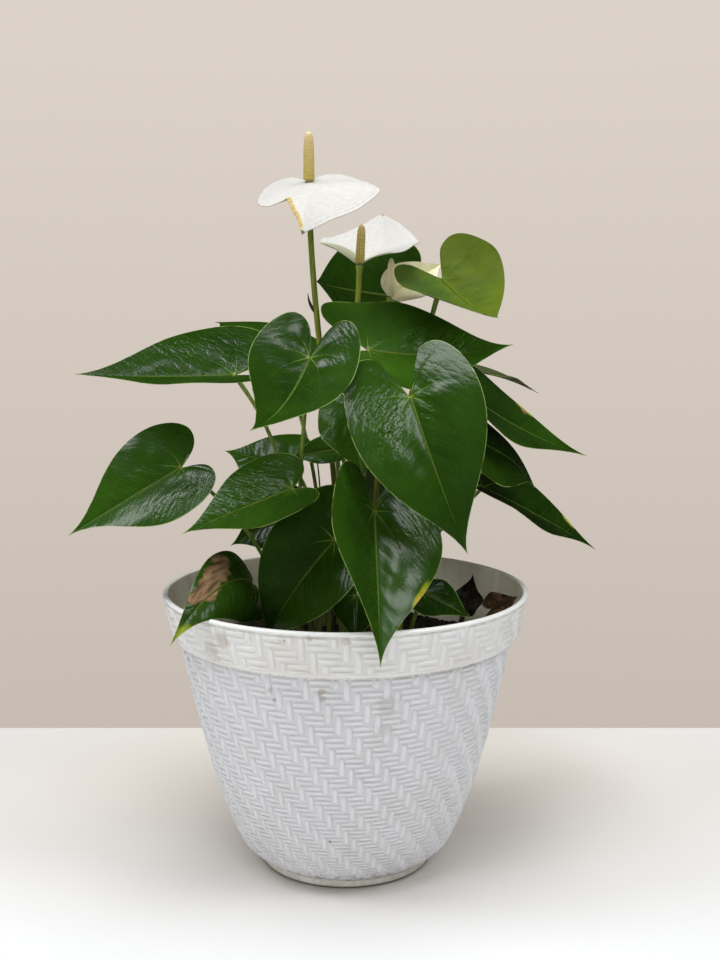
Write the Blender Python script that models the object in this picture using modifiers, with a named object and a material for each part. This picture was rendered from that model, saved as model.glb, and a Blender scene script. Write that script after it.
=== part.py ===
"""Potted anthurium: a plastic planter, potting soil, heart-shaped leaves on
long stems, and three blooms with their spathes and spadices.

Metres, +Z up. The origin is the centre of the pot's underside. Angles are in
degrees. The plant's front faces -Y.
"""
import math

import bmesh
import bpy
import numpy as np
from mathutils import Vector

# Pot: a turned shell, wider at the mouth, with a collar, a lip and a foot
POT_HEIGHT = 0.200
RIM_RADIUS = 0.130
WALL = 0.0025
LIP_WIDTH = 0.004
LIP_HEIGHT = 0.006
COLLAR_BOTTOM = 0.169
COLLAR_LOW_RADIUS = 0.1225
BODY_TOP_RADIUS = 0.1176
FOOT_RADIUS = 0.0605
FOOT_HEIGHT = 0.0050
FLOOR_THICKNESS = 0.004
BODY_LOW_RADIUS = 0.0625
BODY_FULLNESS = 0.59
BODY_ROWS = 8
ROUND_STEPS = 48

# Soil: fills the pot to a little below the collar, heaped round the stems
SOIL_LEVEL = 0.153
SOIL_HEAP = 0.008
SOIL_BUMP = 0.0012
SOIL_RINGS = 6
SOIL_STEPS = 24
TOUCH_GAP = 0.0003
MERGE_DISTANCE = 0.00001
HOLE_DEPTH = 0.022
HOLE_SIDES = 8
HOLE_CLEARANCE = 0.0006

# Stems and blades
HOLE_FLOOR = SOIL_LEVEL + SOIL_HEAP - HOLE_DEPTH
STEM_FOOT = SOIL_LEVEL + SOIL_HEAP + 0.004
LEAF_STEM_RADIUS = 0.0016
BLOOM_STEM_RADIUS = 0.0020
STEM_POINTS = 8
BLADE_THICKNESS = 0.0008

# Each leaf stands at `stem` on the soil and its blade joins its stem at `at`.
# The blade's midrib leaves that point by `turn` about +Z (0 is +X, -90 is the
# front) and rises by `tilt`; `roll` turns it about the midrib. length runs from
# there to the tip, lobe is how far the two lobes reach back past it, and
# half_width is the widest half. fold lifts the left and right half from the
# midrib and curl turns their margins down again; arch bends the midrib down
# towards the tip and twist turns the blade about it. lobe_line is how far out
# the lobes end, sinus how wide the notch between them opens, and sides narrows
# the left and right half. arrive is the way a stem comes up to its blade, and
# path says how far it rises straight and how early it turns that way.
LEAVES = {
    "leaf_left_low": dict(
        stem=(-0.044, -0.008), at=(-0.113, -0.026, 0.289), turn=-170, tilt=-29, roll=-52,
        length=0.089, half_width=0.039, lobe=0.019, fold=(15, 15), curl=(8, 14), arch=4),
    "leaf_left_front": dict(
        stem=(-0.024, -0.032), at=(-0.035, -0.055, 0.279), turn=-168, tilt=-19, roll=-30,
        length=0.078, half_width=0.036, lobe=0.014, fold=(16, 16), curl=(0, 14), arch=4, twist=-12,
        arrive=(-0.3, -0.8, 0.45)),
    "leaf_left_high": dict(
        stem=(-0.032, 0.002), at=(-0.077, -0.010, 0.352), turn=175, tilt=-3, roll=-25,
        length=0.112, half_width=0.049, lobe=0.027, fold=(22, 24), curl=(0, 12), arch=-7),
    "leaf_centre_left": dict(
        stem=(-0.034, -0.010), at=(-0.022, -0.076, 0.367), turn=-112, tilt=-44, roll=-3,
        length=0.099, half_width=0.037, lobe=0.030, fold=(14, 30), curl=(14, -8), arch=-42,
        twist=-14, sinus=0.25, lobe_line=0.47, arrive=(0.1, -0.6, 0.75),
        path=dict(rise=0.50, reach=0.28)),
    "leaf_right_high": dict(
        stem=(0.008, -0.014), at=(0.016, -0.030, 0.370), turn=12, tilt=-10, roll=41, length=0.099,
        half_width=0.048, lobe=0.034, fold=(8, 23), curl=(12, 0), arch=-32, twist=17, sinus=0.75,
        lobe_line=0.59),
    "leaf_centre": dict(
        stem=(0.026, -0.036), at=(0.042, -0.088, 0.343), turn=-66, tilt=-52, roll=35, length=0.111,
        half_width=0.047, lobe=0.030, fold=(19, 32), curl=(4, 0), arch=56, twist=8, sinus=1.0,
        lobe_line=0.45, arrive=(0.1, -0.5, 0.9)),
    "leaf_front": dict(
        stem=(0.036, -0.056), at=(0.019, -0.098, 0.271), turn=-85, tilt=-58, roll=-33, length=0.101,
        half_width=0.048, lobe=0.026, fold=(21, 24), curl=(20, 9), arch=2,
        arrive=(-0.6, -0.35, 0.7)),
    "leaf_front_left": dict(
        stem=(-0.018, -0.044), at=(-0.0068, -0.060, 0.2450), turn=-155, tilt=-43, roll=-52,
        length=0.097, half_width=0.0376, lobe=0.028, fold=(28, 23), curl=(2, 18), arch=70,
        lobe_line=0.58),
    "leaf_rim_left": dict(
        stem=(-0.040, -0.024), at=(-0.065, -0.035, 0.2112), turn=-106, tilt=25, roll=-22,
        length=0.100, half_width=0.024, lobe=0.014, fold=(-10, 37), curl=(58, 13), arch=88),
    "leaf_right_mid": dict(
        stem=(0.036, 0.004), at=(0.082, -0.012, 0.341), turn=29, tilt=-35, roll=30, length=0.114,
        half_width=0.049, lobe=0.029, fold=(16, 11), curl=(16, 11), arch=-20,
        arrive=(0.7, -0.1, 0.7)),
    "leaf_right_low": dict(
        stem=(0.040, 0.014), at=(0.100, 0.030, 0.267), turn=27, tilt=-25, roll=24,
        length=0.120, half_width=0.051, lobe=0.029, fold=(16, 18), curl=(12, 12), arch=6, twist=12),
    "leaf_right_inner": dict(
        stem=(0.034, -0.016), at=(0.085, -0.034, 0.310), turn=30, tilt=-18, roll=42, length=0.082,
        half_width=0.034, lobe=0.021, fold=(6, 8), curl=(26, 18), arch=34, twist=10),
    "leaf_top_right": dict(
        stem=(0.024, -0.006), at=(0.068, 0.012, 0.4175), turn=-54, tilt=-34, roll=-140,
        length=0.091, half_width=0.041, lobe=0.023, fold=(-26, -15), curl=(23, 24), arch=44,
        twist=-25, sinus=0.7, arrive=(0.25, -0.1, 0.95)),
    "leaf_top_back": dict(
        stem=(0.004, 0.026), at=(0.035, 0.085, 0.406), turn=146, tilt=6, roll=-94, length=0.104,
        half_width=0.047, lobe=0.023, fold=(-2, 7), curl=(18, 23), arch=38, twist=-18,
        lobe_line=0.59, arrive=(0.1, 0.45, 0.9)),
    "leaf_left_small": dict(
        stem=(-0.022, 0.010), at=(-0.040, 0.024, 0.284), turn=141, tilt=5, roll=-50,
        length=0.068, half_width=0.028, lobe=0.010, fold=(11, 11), curl=(15, 28), arch=0),
    "leaf_back_left": dict(
        stem=(-0.016, 0.034), at=(-0.050, 0.075, 0.364), turn=131, tilt=24, roll=-11, length=0.094,
        half_width=0.039, lobe=0.023, fold=(12, 8), curl=(15, 18), arch=22,
        path=dict(rise=0.55, reach=0.25)),
    "leaf_back_right": dict(
        stem=(0.030, 0.028), at=(0.064, 0.086, 0.350), turn=32, tilt=3, roll=5, length=0.113,
        half_width=0.048, lobe=0.028, fold=(8, 13), curl=(18, 13), arch=29, twist=14),
    "leaf_middle": dict(
        stem=(0.000, -0.022), at=(0.006, -0.038, 0.328), turn=-80, tilt=-50, roll=5, length=0.066,
        half_width=0.027, lobe=0.020, fold=(12, 6), curl=(15, 20), arch=0, arrive=(0.1, -0.35, 0.9)),
    "leaf_pot_left": dict(
        stem=(-0.038, 0.018), at=(-0.040, 0.034, 0.246), turn=178, tilt=-22, roll=-55, length=0.054,
        half_width=0.026, lobe=0.014, fold=(12, 14), curl=(12, 12), arch=20),
    "leaf_pot_front": dict(
        stem=(0.010, -0.030), at=(0.008, -0.040, 0.202), turn=-92, tilt=-34, roll=0, length=0.040,
        half_width=0.017, lobe=0.010, fold=(10, 10), curl=(10, 10), arch=30),
    "leaf_pot_right": dict(
        stem=(0.044, -0.040), at=(0.054, -0.050, 0.206), turn=-43, tilt=-10, roll=38, length=0.041,
        half_width=0.021, lobe=0.010, fold=(8, 8), curl=(10, 10), arch=15),
    "leaf_young": dict(
        stem=(-0.012, -0.020), at=(-0.006, -0.014, 0.300), turn=178, tilt=-4, roll=-60,
        length=0.036, half_width=0.012, lobe=0.006, fold=(24, 24), curl=(10, 10), arch=30),
    "leaf_back_middle": dict(
        stem=(0.014, 0.040), at=(0.034, 0.080, 0.262), turn=76, tilt=-34, roll=0, length=0.104,
        half_width=0.040, lobe=0.026, fold=(14, 14), curl=(14, 14), arch=34),
    "leaf_back_low": dict(
        stem=(-0.006, 0.040), at=(-0.012, 0.050, 0.345), turn=94, tilt=-6, roll=0, length=0.088,
        half_width=0.027, lobe=0.020, fold=(14, 14), curl=(12, 12), arch=40),
}
BLADE_DEFAULTS = dict(twist=0, sinus=0.35, lobe_line=0.50, wave=0.0012, tip_width=0.10,
                      sides=(1, 1))

# Each bloom's spathe is a blade like a leaf's, with a boss that its stem meets
# from below and its spadix from above. lean tips the spadix to +X and to -Y
BOSS_RADIUS = 0.0024
BOSS_HALF = 0.0028
SPADIX_SIDES = 14
SPADIX_RINGS = 20
FLORET_RELIEF = 0.07
FLORET_TURNS = 5
FLORET_ROWS = 9
BLOOMS = {
    "bloom_tall": dict(
        stem=(-0.003, 0.001), at=(-0.024, -0.020, 0.482), turn=-92, tilt=-22, roll=1, length=0.076,
        half_width=0.046, lobe=0.020, fold=(-7, -15), curl=(-14, -6), arch=16, twist=-29,
        lobe_line=0.38, spadix=0.034, spadix_radius=0.0038, lean=(0, 4), sides=(1, 0.76)),
    "bloom_middle": dict(
        stem=(0.002, 0.010), at=(0.010, 0.020, 0.428), turn=71, tilt=13, roll=-7, length=0.074,
        half_width=0.045, lobe=0.016, fold=(43, 24), curl=(32, 28), arch=-38, sinus=0.7,
        spadix=0.029, spadix_radius=0.0032, lean=(3, 0), sides=(0.80, 1)),
    "bloom_low": dict(
        stem=(0.018, 0.012), at=(0.032, 0.030, 0.4055), turn=28, tilt=34, roll=47, length=0.0565,
        half_width=0.025, lobe=0.0055, fold=(80, 35), curl=(20, -5), arch=21, twist=31,
        spadix=0.028, spadix_radius=0.0030, lean=(2, 0)),
}

# Faces of a leaf's half: steps along sinus and lobe, lobe to widest, widest to
# tip, and cells from the midrib to the edge
BLADE_STEPS = (3, 4, 5)
BLADE_CELLS = 2

# Dead leaves on the soil, brown and curled, with a short stem each
DEAD_LEAVES = {
    "dead_leaf_brown": dict(
        stem=(0.094, -0.020), at=(0.1045, -0.018, 0.188), turn=8, tilt=25, roll=60, length=0.019,
        half_width=0.011, lobe=0.006, fold=(20, 20), curl=(30, 10), arch=-10),
    "dead_leaf_dark": dict(
        stem=(0.082, 0.002), at=(0.0875, 0.004, 0.186), turn=30, tilt=65, roll=30, length=0.024,
        half_width=0.011, lobe=0.008, fold=(40, 30), curl=(30, 50), arch=-50),
}

# Bare stems without a blade: a dry one, and a shoot that is still rolled up
BARE_STEMS = {
    "dry_stem": dict(stem=(-0.010, 0.011), top=(-0.0165, 0.009, 0.334), radius=0.0009),
    "young_shoot": dict(stem=(-0.021, -0.006), top=(-0.022, 0.000, 0.302), radius=0.0012),
}


def cubic_arc(start, pull_start, pull_end, end, steps):
    """Points along a cubic arc between two ends, the first end left out."""
    t = np.arange(1, steps + 1)[:, None] / steps
    near = (1 - t) ** 3 * np.array(start) + 3 * (1 - t) ** 2 * t * np.array(pull_start)
    far = 3 * (1 - t) * t ** 2 * np.array(pull_end) + t ** 3 * np.array(end)
    return near + far


def half_outline(blade, steps):
    """Half of a flat heart: round the lobe, out to the widest place, in to the tip."""
    length, width, lobe = blade["length"], blade["half_width"], blade["lobe"]
    widest = (0.16 * length, width)
    lobe_end = (-lobe, blade["lobe_line"] * width)
    tip = (length, 0)
    inner = cubic_arc((0, 0), (-0.55 * lobe, 0.35 * blade["sinus"] * width),
                      (lobe_end[0], lobe_end[1] - 0.28 * width), lobe_end, steps[0])
    outer = cubic_arc(lobe_end, (lobe_end[0], lobe_end[1] + 0.30 * width),
                      (widest[0] - 0.45 * (widest[0] + lobe), width), widest, steps[1])
    point = cubic_arc(widest, (widest[0] + 0.38 * (length - widest[0]), width),
                      (0.70 * length, blade["tip_width"] * width), tip, steps[2])
    return np.vstack([inner, outer, point])


def bend(flat, blade):
    """Flat points of a blade, folded, curled, arched and turned into their place."""
    x, y = flat[..., 0], flat[..., 1]
    length, width = blade["length"], blade["half_width"]
    left = y >= 0
    y = y * np.where(left, *blade["sides"])
    reach = np.abs(y)
    fold = np.radians(np.where(left, *blade["fold"]))
    bow = np.radians(np.where(left, *blade["curl"])) / width + 1e-6
    across = (np.sin(fold) - np.sin(fold - bow * reach)) / bow * np.where(left, 1, -1)
    up = (np.cos(fold - bow * reach) - np.cos(fold)) / bow
    phase = np.where(left, 0, 2)
    up = up + blade["wave"] * (reach / width) ** 2 * np.sin(3 * math.pi * x / length + phase)
    twist = math.radians(blade["twist"]) * np.clip(x / length, 0, 1)
    across, up = (across * np.cos(twist) - up * np.sin(twist),
                  across * np.sin(twist) + up * np.cos(twist))
    arch = math.radians(blade["arch"] + 0.01) / length
    arch = np.where(x >= 0, arch, 0.6 * arch)
    slope = -arch * x
    along = np.sin(arch * x) / arch - up * np.sin(slope)
    height = (np.cos(arch * x) - 1) / arch + up * np.cos(slope)
    local = np.stack([along, across, height], -1)
    return local @ blade_axes(blade).T + np.array(blade["at"])


def blade_axes(blade):
    """A blade's axes as columns: along its midrib, to its left, and out of its face."""
    turn, tilt, roll = np.radians([blade["turn"], blade["tilt"], blade["roll"]])
    about_z = np.array([[math.cos(turn), -math.sin(turn), 0],
                        [math.sin(turn), math.cos(turn), 0], [0, 0, 1]])
    about_y = np.array([[math.cos(tilt), 0, -math.sin(tilt)], [0, 1, 0],
                        [math.sin(tilt), 0, math.cos(tilt)]])
    about_x = np.array([[1, 0, 0], [0, math.cos(roll), -math.sin(roll)],
                        [0, math.sin(roll), math.cos(roll)]])
    return about_z @ about_y @ about_x


def blade_surface(blade, steps, cells):
    """Points and faces of a bent blade, both halves, before its doubles are merged."""
    edge = half_outline(blade, steps)
    count = len(edge)
    turn_in = steps[0] + steps[1] // 2
    slide = np.clip((np.arange(1, count + 1) - turn_in) / (count - turn_in), 0, 1)
    inner = np.stack([blade["length"] * slide, 0 * slide], -1)
    share = np.linspace(0, 1, cells + 1)[None, :, None]
    left = inner[:, None] + (edge - inner)[:, None] * share
    right = left * np.array([1, -1])
    faces = []
    for half in range(2):
        for i in range(count - 1):
            for j in range(cells):
                first = (half * count + i) * (cells + 1) + j
                quad = [first, first + cells + 1, first + cells + 2, first + 1]
                faces.append(quad[::-1] if half else quad)
    points = np.concatenate([bend(left, blade), bend(right, blade)]).reshape(-1, 3)
    return points, faces


def unit(vector):
    """A vector made one long."""
    return np.array(vector) / np.linalg.norm(vector)


def stem_path(stem, end, arrive, foot, rise=0.40, reach=0.32, points=STEM_POINTS):
    """Points of a stem: upright from its hole, then over to its end along `arrive`."""
    start = np.array([*stem, STEM_FOOT])
    end = np.array(end)
    span = np.linalg.norm(end - start)
    lift = start + np.array([0, 0, rise * span])
    before = end - reach * span * unit(arrive)
    return np.vstack([[*stem, foot], start, cubic_arc(start, lift, before, end, points - 2)])


def bloom_axis(bloom):
    """The way a bloom's stem ends and its spadix stands, from its lean to +X and to the front."""
    side, front = np.radians(bloom["lean"])
    return unit([math.tan(side), -math.tan(front), 1])


def bloom_stem(bloom):
    """Points of a bloom's stem, up to the underside of its spathe's boss."""
    axis = bloom_axis(bloom)
    end = np.array(bloom["at"]) - (BOSS_HALF + TOUCH_GAP) * axis
    return stem_path(bloom["stem"], end, axis, HOLE_FLOOR + TOUCH_GAP)


def leaf_stem(leaf):
    """A leaf's stem: its points and radii, ending flat along the blade's underside."""
    axes = blade_axes(leaf)
    at = np.array(leaf["at"])
    outward = unit([*(at[:2] - np.array(leaf["stem"])), 0])
    from_below = unit(0.5 * axes[:, 0] + 0.85 * axes[:, 2])
    arrive = leaf.get("arrive", from_below + unit(0.6 * outward + np.array([0, 0, 0.8])))
    inset = BLADE_THICKNESS / 2 * axes[:, 2]
    end = at - inset
    path = stem_path(leaf["stem"], end, arrive, HOLE_FLOOR + TOUCH_GAP, **leaf.get("path", {}))
    rib = bend(np.array([[0.055, 0], [0.11, 0]]) * leaf["length"], leaf) - inset
    radii = np.full(len(path) + 2, LEAF_STEM_RADIUS)
    radii[-3:] = LEAF_STEM_RADIUS * np.array([0.85, 0.55, 0.3])
    return np.vstack([path, rib]), radii


def add_material(name, colour, roughness, metallic=0.0):
    """A plain material of one colour."""
    material = bpy.data.materials.new(name)
    material.use_nodes = True
    shader = material.node_tree.nodes["Principled BSDF"]
    shader.inputs["Base Color"].default_value = (*colour, 1)
    shader.inputs["Roughness"].default_value = roughness
    shader.inputs["Metallic"].default_value = metallic
    material.diffuse_color = (*colour, 1)
    return material


def add_object(name, mesh, material, collection):
    """An object of that name in the collection, with its one material."""
    mesh.materials.clear()
    mesh.materials.append(material)
    mesh.shade_smooth()
    mesh.set_sharp_from_angle(angle=math.radians(40))
    made = bpy.data.objects.new(name, mesh)
    collection.objects.link(made)
    return made


def baked_mesh(source):
    """A mesh of the object as its modifiers leave it. The object is removed."""
    bpy.context.view_layer.update()
    graph = bpy.context.evaluated_depsgraph_get()
    mesh = bpy.data.meshes.new_from_object(source.evaluated_get(graph))
    mesh.transform(source.matrix_world)
    bpy.data.objects.remove(source)
    return mesh


def merged(mesh, distance=MERGE_DISTANCE):
    """The mesh with its doubled points merged and its faces pointing out."""
    shape = bmesh.new()
    shape.from_mesh(mesh)
    bmesh.ops.remove_doubles(shape, verts=shape.verts, dist=distance)
    bmesh.ops.recalc_face_normals(shape, faces=shape.faces)
    shape.to_mesh(mesh)
    shape.free()
    return mesh


def tube_mesh(points, radii):
    """A round tube along the points, closed at both ends."""
    curve = bpy.data.curves.new("stem", "CURVE")
    curve.dimensions = "3D"
    curve.bevel_depth = 1.0
    curve.bevel_resolution = 1
    curve.use_fill_caps = True
    spline = curve.splines.new("POLY")
    spline.points.add(len(points) - 1)
    for place, point, radius in zip(spline.points, points, radii):
        place.co = (*point, 1)
        place.radius = radius
    holder = bpy.data.objects.new("stem", curve)
    bpy.context.scene.collection.objects.link(holder)
    mesh = baked_mesh(holder)
    bpy.data.curves.remove(curve)
    return merged(mesh)


def blade_mesh(blade, steps=BLADE_STEPS, cells=BLADE_CELLS):
    """A closed blade: its bent surface, split into triangles and given its thickness."""
    points, faces = blade_surface(blade, steps, cells)
    sheet = bpy.data.meshes.new("blade")
    sheet.from_pydata(points, [], faces)
    shape = bmesh.new()
    shape.from_mesh(sheet)
    bmesh.ops.remove_doubles(shape, verts=shape.verts, dist=MERGE_DISTANCE)
    bmesh.ops.triangulate(shape, faces=shape.faces, quad_method="SHORT_EDGE")
    shape.to_mesh(sheet)
    shape.free()
    holder = bpy.data.objects.new("blade", sheet)
    bpy.context.scene.collection.objects.link(holder)
    wall = holder.modifiers.new("thickness", "SOLIDIFY")
    wall.thickness = BLADE_THICKNESS
    wall.offset = 0
    return baked_mesh(holder)


def joined(meshes):
    """One closed mesh from several that overlap, by one Boolean union."""
    operands = bpy.data.collections.new("operands")
    bpy.context.scene.collection.children.link(operands)
    first = bpy.data.objects.new("joined", meshes[0])
    bpy.context.scene.collection.objects.link(first)
    for mesh in meshes[1:]:
        operands.objects.link(bpy.data.objects.new("operand", mesh))
    union = first.modifiers.new("union", "BOOLEAN")
    union.operation = "UNION"
    union.operand_type = "COLLECTION"
    union.collection = operands
    union.solver = "MANIFOLD"
    mesh = baked_mesh(first)
    for operand in list(operands.objects):
        bpy.data.objects.remove(operand)
    bpy.data.collections.remove(operands)
    return mesh


def body_radius(z):
    """The body's outer radius at a height: full and rounded low down, straighter above."""
    share = (z - FOOT_HEIGHT) / (COLLAR_BOTTOM - FOOT_HEIGHT)
    return BODY_LOW_RADIUS + (BODY_TOP_RADIUS - BODY_LOW_RADIUS) * max(share, 0) ** BODY_FULLNESS


def body_heights():
    """Heights of the body's rows, closer together low down, where it curves most."""
    low = FOOT_HEIGHT + 0.001
    high = COLLAR_BOTTOM - 0.002
    return [low + (high - low) * (i / BODY_ROWS) ** 1.6 for i in range(BODY_ROWS + 1)]


def inner_section():
    """The pot's inside as (radius, height), from the floor's edge up to the lip."""
    low = FLOOR_THICKNESS + 0.004
    section = [(body_radius(low) - 2.4 * WALL, FLOOR_THICKNESS)]
    section += [(body_radius(z) - WALL, z) for z in body_heights() if z > low]
    section += [(COLLAR_LOW_RADIUS - WALL, COLLAR_BOTTOM + 0.003),
                (RIM_RADIUS - LIP_WIDTH - 0.001, POT_HEIGHT - LIP_HEIGHT)]
    return section


def pot_section():
    """The pot's whole section, from the inner floor over the lip to the underside."""
    inner_rim = RIM_RADIUS - LIP_WIDTH
    lip = [(inner_rim, POT_HEIGHT - 0.001), (inner_rim + 0.001, POT_HEIGHT),
           (RIM_RADIUS - 0.0012, POT_HEIGHT), (RIM_RADIUS, POT_HEIGHT - 0.0014),
           (RIM_RADIUS - 0.0004, POT_HEIGHT - LIP_HEIGHT)]
    collar = [(RIM_RADIUS - 0.0034, POT_HEIGHT - 0.6 * (POT_HEIGHT - COLLAR_BOTTOM)),
              (COLLAR_LOW_RADIUS + 0.0008, COLLAR_BOTTOM + 0.0030),
              (COLLAR_LOW_RADIUS, COLLAR_BOTTOM + 0.0008),
              (COLLAR_LOW_RADIUS - 0.0015, COLLAR_BOTTOM - 0.0006)]
    body = [(body_radius(z), z) for z in reversed(body_heights())]
    foot = [(FOOT_RADIUS, FOOT_HEIGHT), (FOOT_RADIUS, 0), (0, 0)]
    return [(0, FLOOR_THICKNESS)] + inner_section() + lip + collar + body + foot


def turned_mesh(section, steps):
    """A section turned once round +Z."""
    mesh = bpy.data.meshes.new("section")
    mesh.from_pydata([(radius, 0, z) for radius, z in section], [],
                     [(i, i + 1) for i in range(len(section) - 1)])
    holder = bpy.data.objects.new("turned", mesh)
    bpy.context.scene.collection.objects.link(holder)
    screw = holder.modifiers.new("turn", "SCREW")
    screw.steps = steps
    screw.render_steps = steps
    screw.use_merge_vertices = True
    screw.merge_threshold = MERGE_DISTANCE
    return merged(baked_mesh(holder))


def soil_top(x, y):
    """The soil's height: a low heap, with small lumps."""
    radius = np.hypot(x, y)
    heap = SOIL_HEAP * (1 - (radius / BODY_TOP_RADIUS) ** 2)
    lumps = np.sin(190 * x + 1) * np.sin(170 * y) + np.sin(120 * x - 150 * y + 2)
    return SOIL_LEVEL + heap + SOIL_BUMP * lumps


def soil_section():
    """The soil's section: along the pot's floor, up its wall, and in over the top."""
    inner = inner_section()
    below = [(r, z) for r, z in inner if z < SOIL_LEVEL]
    above = [(r, z) for r, z in inner if z >= SOIL_LEVEL][0]
    (last_r, last_z), (next_r, next_z) = below[-1], above
    edge = last_r + (next_r - last_r) * (SOIL_LEVEL - last_z) / (next_z - last_z)
    wall = [(r - TOUCH_GAP, z + TOUCH_GAP) for r, z in below] + [(edge - TOUCH_GAP, SOIL_LEVEL)]
    rings = [(edge * (1 - i / SOIL_RINGS) - TOUCH_GAP, SOIL_LEVEL) for i in range(1, SOIL_RINGS)]
    return [(0, FLOOR_THICKNESS + TOUCH_GAP)] + wall + rings + [(0, SOIL_LEVEL)]


def hole_mesh(stem, radius):
    """A cutter for one stem's hole: a prism from the hole's floor to above the soil."""
    shape = bmesh.new()
    bmesh.ops.create_cone(shape, cap_ends=True, segments=HOLE_SIDES, radius1=radius, radius2=radius,
                          depth=3 * HOLE_DEPTH)
    bmesh.ops.translate(shape, verts=shape.verts, vec=(*stem, HOLE_FLOOR + 1.5 * HOLE_DEPTH))
    mesh = bpy.data.meshes.new("hole")
    shape.to_mesh(mesh)
    shape.free()
    return mesh


def soil_mesh(holes):
    """The soil, its top heaped and lumpy, with a plain hole for each stem."""
    soil = turned_mesh(soil_section(), SOIL_STEPS)
    wall = soil_section()[-SOIL_RINGS - 1][0]
    for vertex in soil.vertices:
        x, y, z = vertex.co
        if z > SOIL_LEVEL - 0.0001 and math.hypot(x, y) < wall - 0.001:
            vertex.co.z = float(soil_top(x, y))
    cutters = bpy.data.collections.new("holes")
    bpy.context.scene.collection.children.link(cutters)
    for stem, radius in holes:
        cutters.objects.link(bpy.data.objects.new("hole", hole_mesh(stem, radius)))
    holder = bpy.data.objects.new("soil", soil)
    bpy.context.scene.collection.objects.link(holder)
    cut = holder.modifiers.new("holes", "BOOLEAN")
    cut.operation = "DIFFERENCE"
    cut.operand_type = "COLLECTION"
    cut.collection = cutters
    mesh = baked_mesh(holder)
    for cutter in list(cutters.objects):
        bpy.data.objects.remove(cutter)
    bpy.data.collections.remove(cutters)
    return mesh


def rod_mesh(centre, axis, radius, half, sides):
    """A short rod about a centre, along an axis."""
    shape = bmesh.new()
    bmesh.ops.create_cone(shape, cap_ends=True, segments=sides, radius1=radius, radius2=radius,
                          depth=2 * half)
    turn = Vector((0, 0, 1)).rotation_difference(Vector(axis))
    bmesh.ops.rotate(shape, verts=shape.verts, matrix=turn.to_matrix())
    bmesh.ops.translate(shape, verts=shape.verts, vec=centre)
    mesh = bpy.data.meshes.new("rod")
    shape.to_mesh(mesh)
    shape.free()
    return mesh


def spadix_mesh(bloom):
    """A spadix: a ball drawn out to a blunt finger, raised in florets along spirals."""
    shape = bmesh.new()
    bmesh.ops.create_uvsphere(shape, u_segments=SPADIX_SIDES, v_segments=SPADIX_RINGS, radius=1)
    for vertex in shape.verts:
        share = 1 - math.acos(max(-1, min(1, vertex.co.z))) / math.pi
        around = math.atan2(vertex.co.y, vertex.co.x)
        florets = math.sin(FLORET_TURNS * around + 2 * math.pi * FLORET_ROWS * share)
        florets *= math.sin(FLORET_TURNS * around - 2 * math.pi * FLORET_ROWS * share)
        finger = min(1, 6 * share) ** 0.3 * (1 - share ** 5) ** 0.5 * (1 - 0.14 * share)
        radius = bloom["spadix_radius"] * finger * (1 + FLORET_RELIEF * florets)
        vertex.co = (radius * math.cos(around), radius * math.sin(around), bloom["spadix"] * share)
    axis = bloom_axis(bloom)
    turn = Vector((0, 0, 1)).rotation_difference(Vector(axis))
    bmesh.ops.rotate(shape, verts=shape.verts, matrix=turn.to_matrix())
    foot = np.array(bloom["at"]) + (BOSS_HALF + TOUCH_GAP) * axis
    bmesh.ops.translate(shape, verts=shape.verts, vec=foot)
    mesh = bpy.data.meshes.new("spadix")
    shape.to_mesh(mesh)
    shape.free()
    return merged(mesh, MERGE_DISTANCE / 10)


def add_leaf(name, leaf, material, collection):
    """A leaf: its blade and its stem, grown together."""
    points, radii = leaf_stem(leaf)
    add_object(name, joined([blade_mesh(leaf), tube_mesh(points, radii)]), material, collection)


def add_bloom(name, bloom, materials, collection):
    """A bloom: its stem, its spathe with the boss, and its spadix."""
    points = bloom_stem(bloom)
    add_object(name + "_stem", tube_mesh(points, [BLOOM_STEM_RADIUS] * len(points)),
               materials["bloom_stem"], collection)
    boss = rod_mesh(bloom["at"], bloom_axis(bloom), BOSS_RADIUS, BOSS_HALF, 10)
    add_object(name + "_spathe", joined([blade_mesh(bloom), boss]), materials["spathe"], collection)
    add_object(name + "_spadix", spadix_mesh(bloom), materials["spadix"], collection)


def add_bare_stem(name, stem, material, collection):
    """A bare stem that narrows to a point."""
    points = stem_path(stem["stem"], stem["top"], (-0.2, 0, 1), HOLE_FLOOR + TOUCH_GAP)
    radii = stem["radius"] * np.linspace(1, 0.35, len(points))
    add_object(name, tube_mesh(points, radii), material, collection)


def build_materials():
    """The colours and finishes of the pieces."""
    return {
        "pot": add_material("pot", (0.78, 0.79, 0.80), 0.38),
        "soil": add_material("soil", (0.030, 0.022, 0.016), 0.95),
        "leaf": add_material("leaf", (0.030, 0.105, 0.020), 0.30),
        "bloom_stem": add_material("bloom_stem", (0.10, 0.20, 0.04), 0.45),
        "spathe": add_material("spathe", (0.86, 0.84, 0.76), 0.40),
        "spadix": add_material("spadix", (0.62, 0.50, 0.22), 0.60),
        "dead_leaf": add_material("dead_leaf", (0.16, 0.07, 0.03), 0.80),
    }


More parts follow.
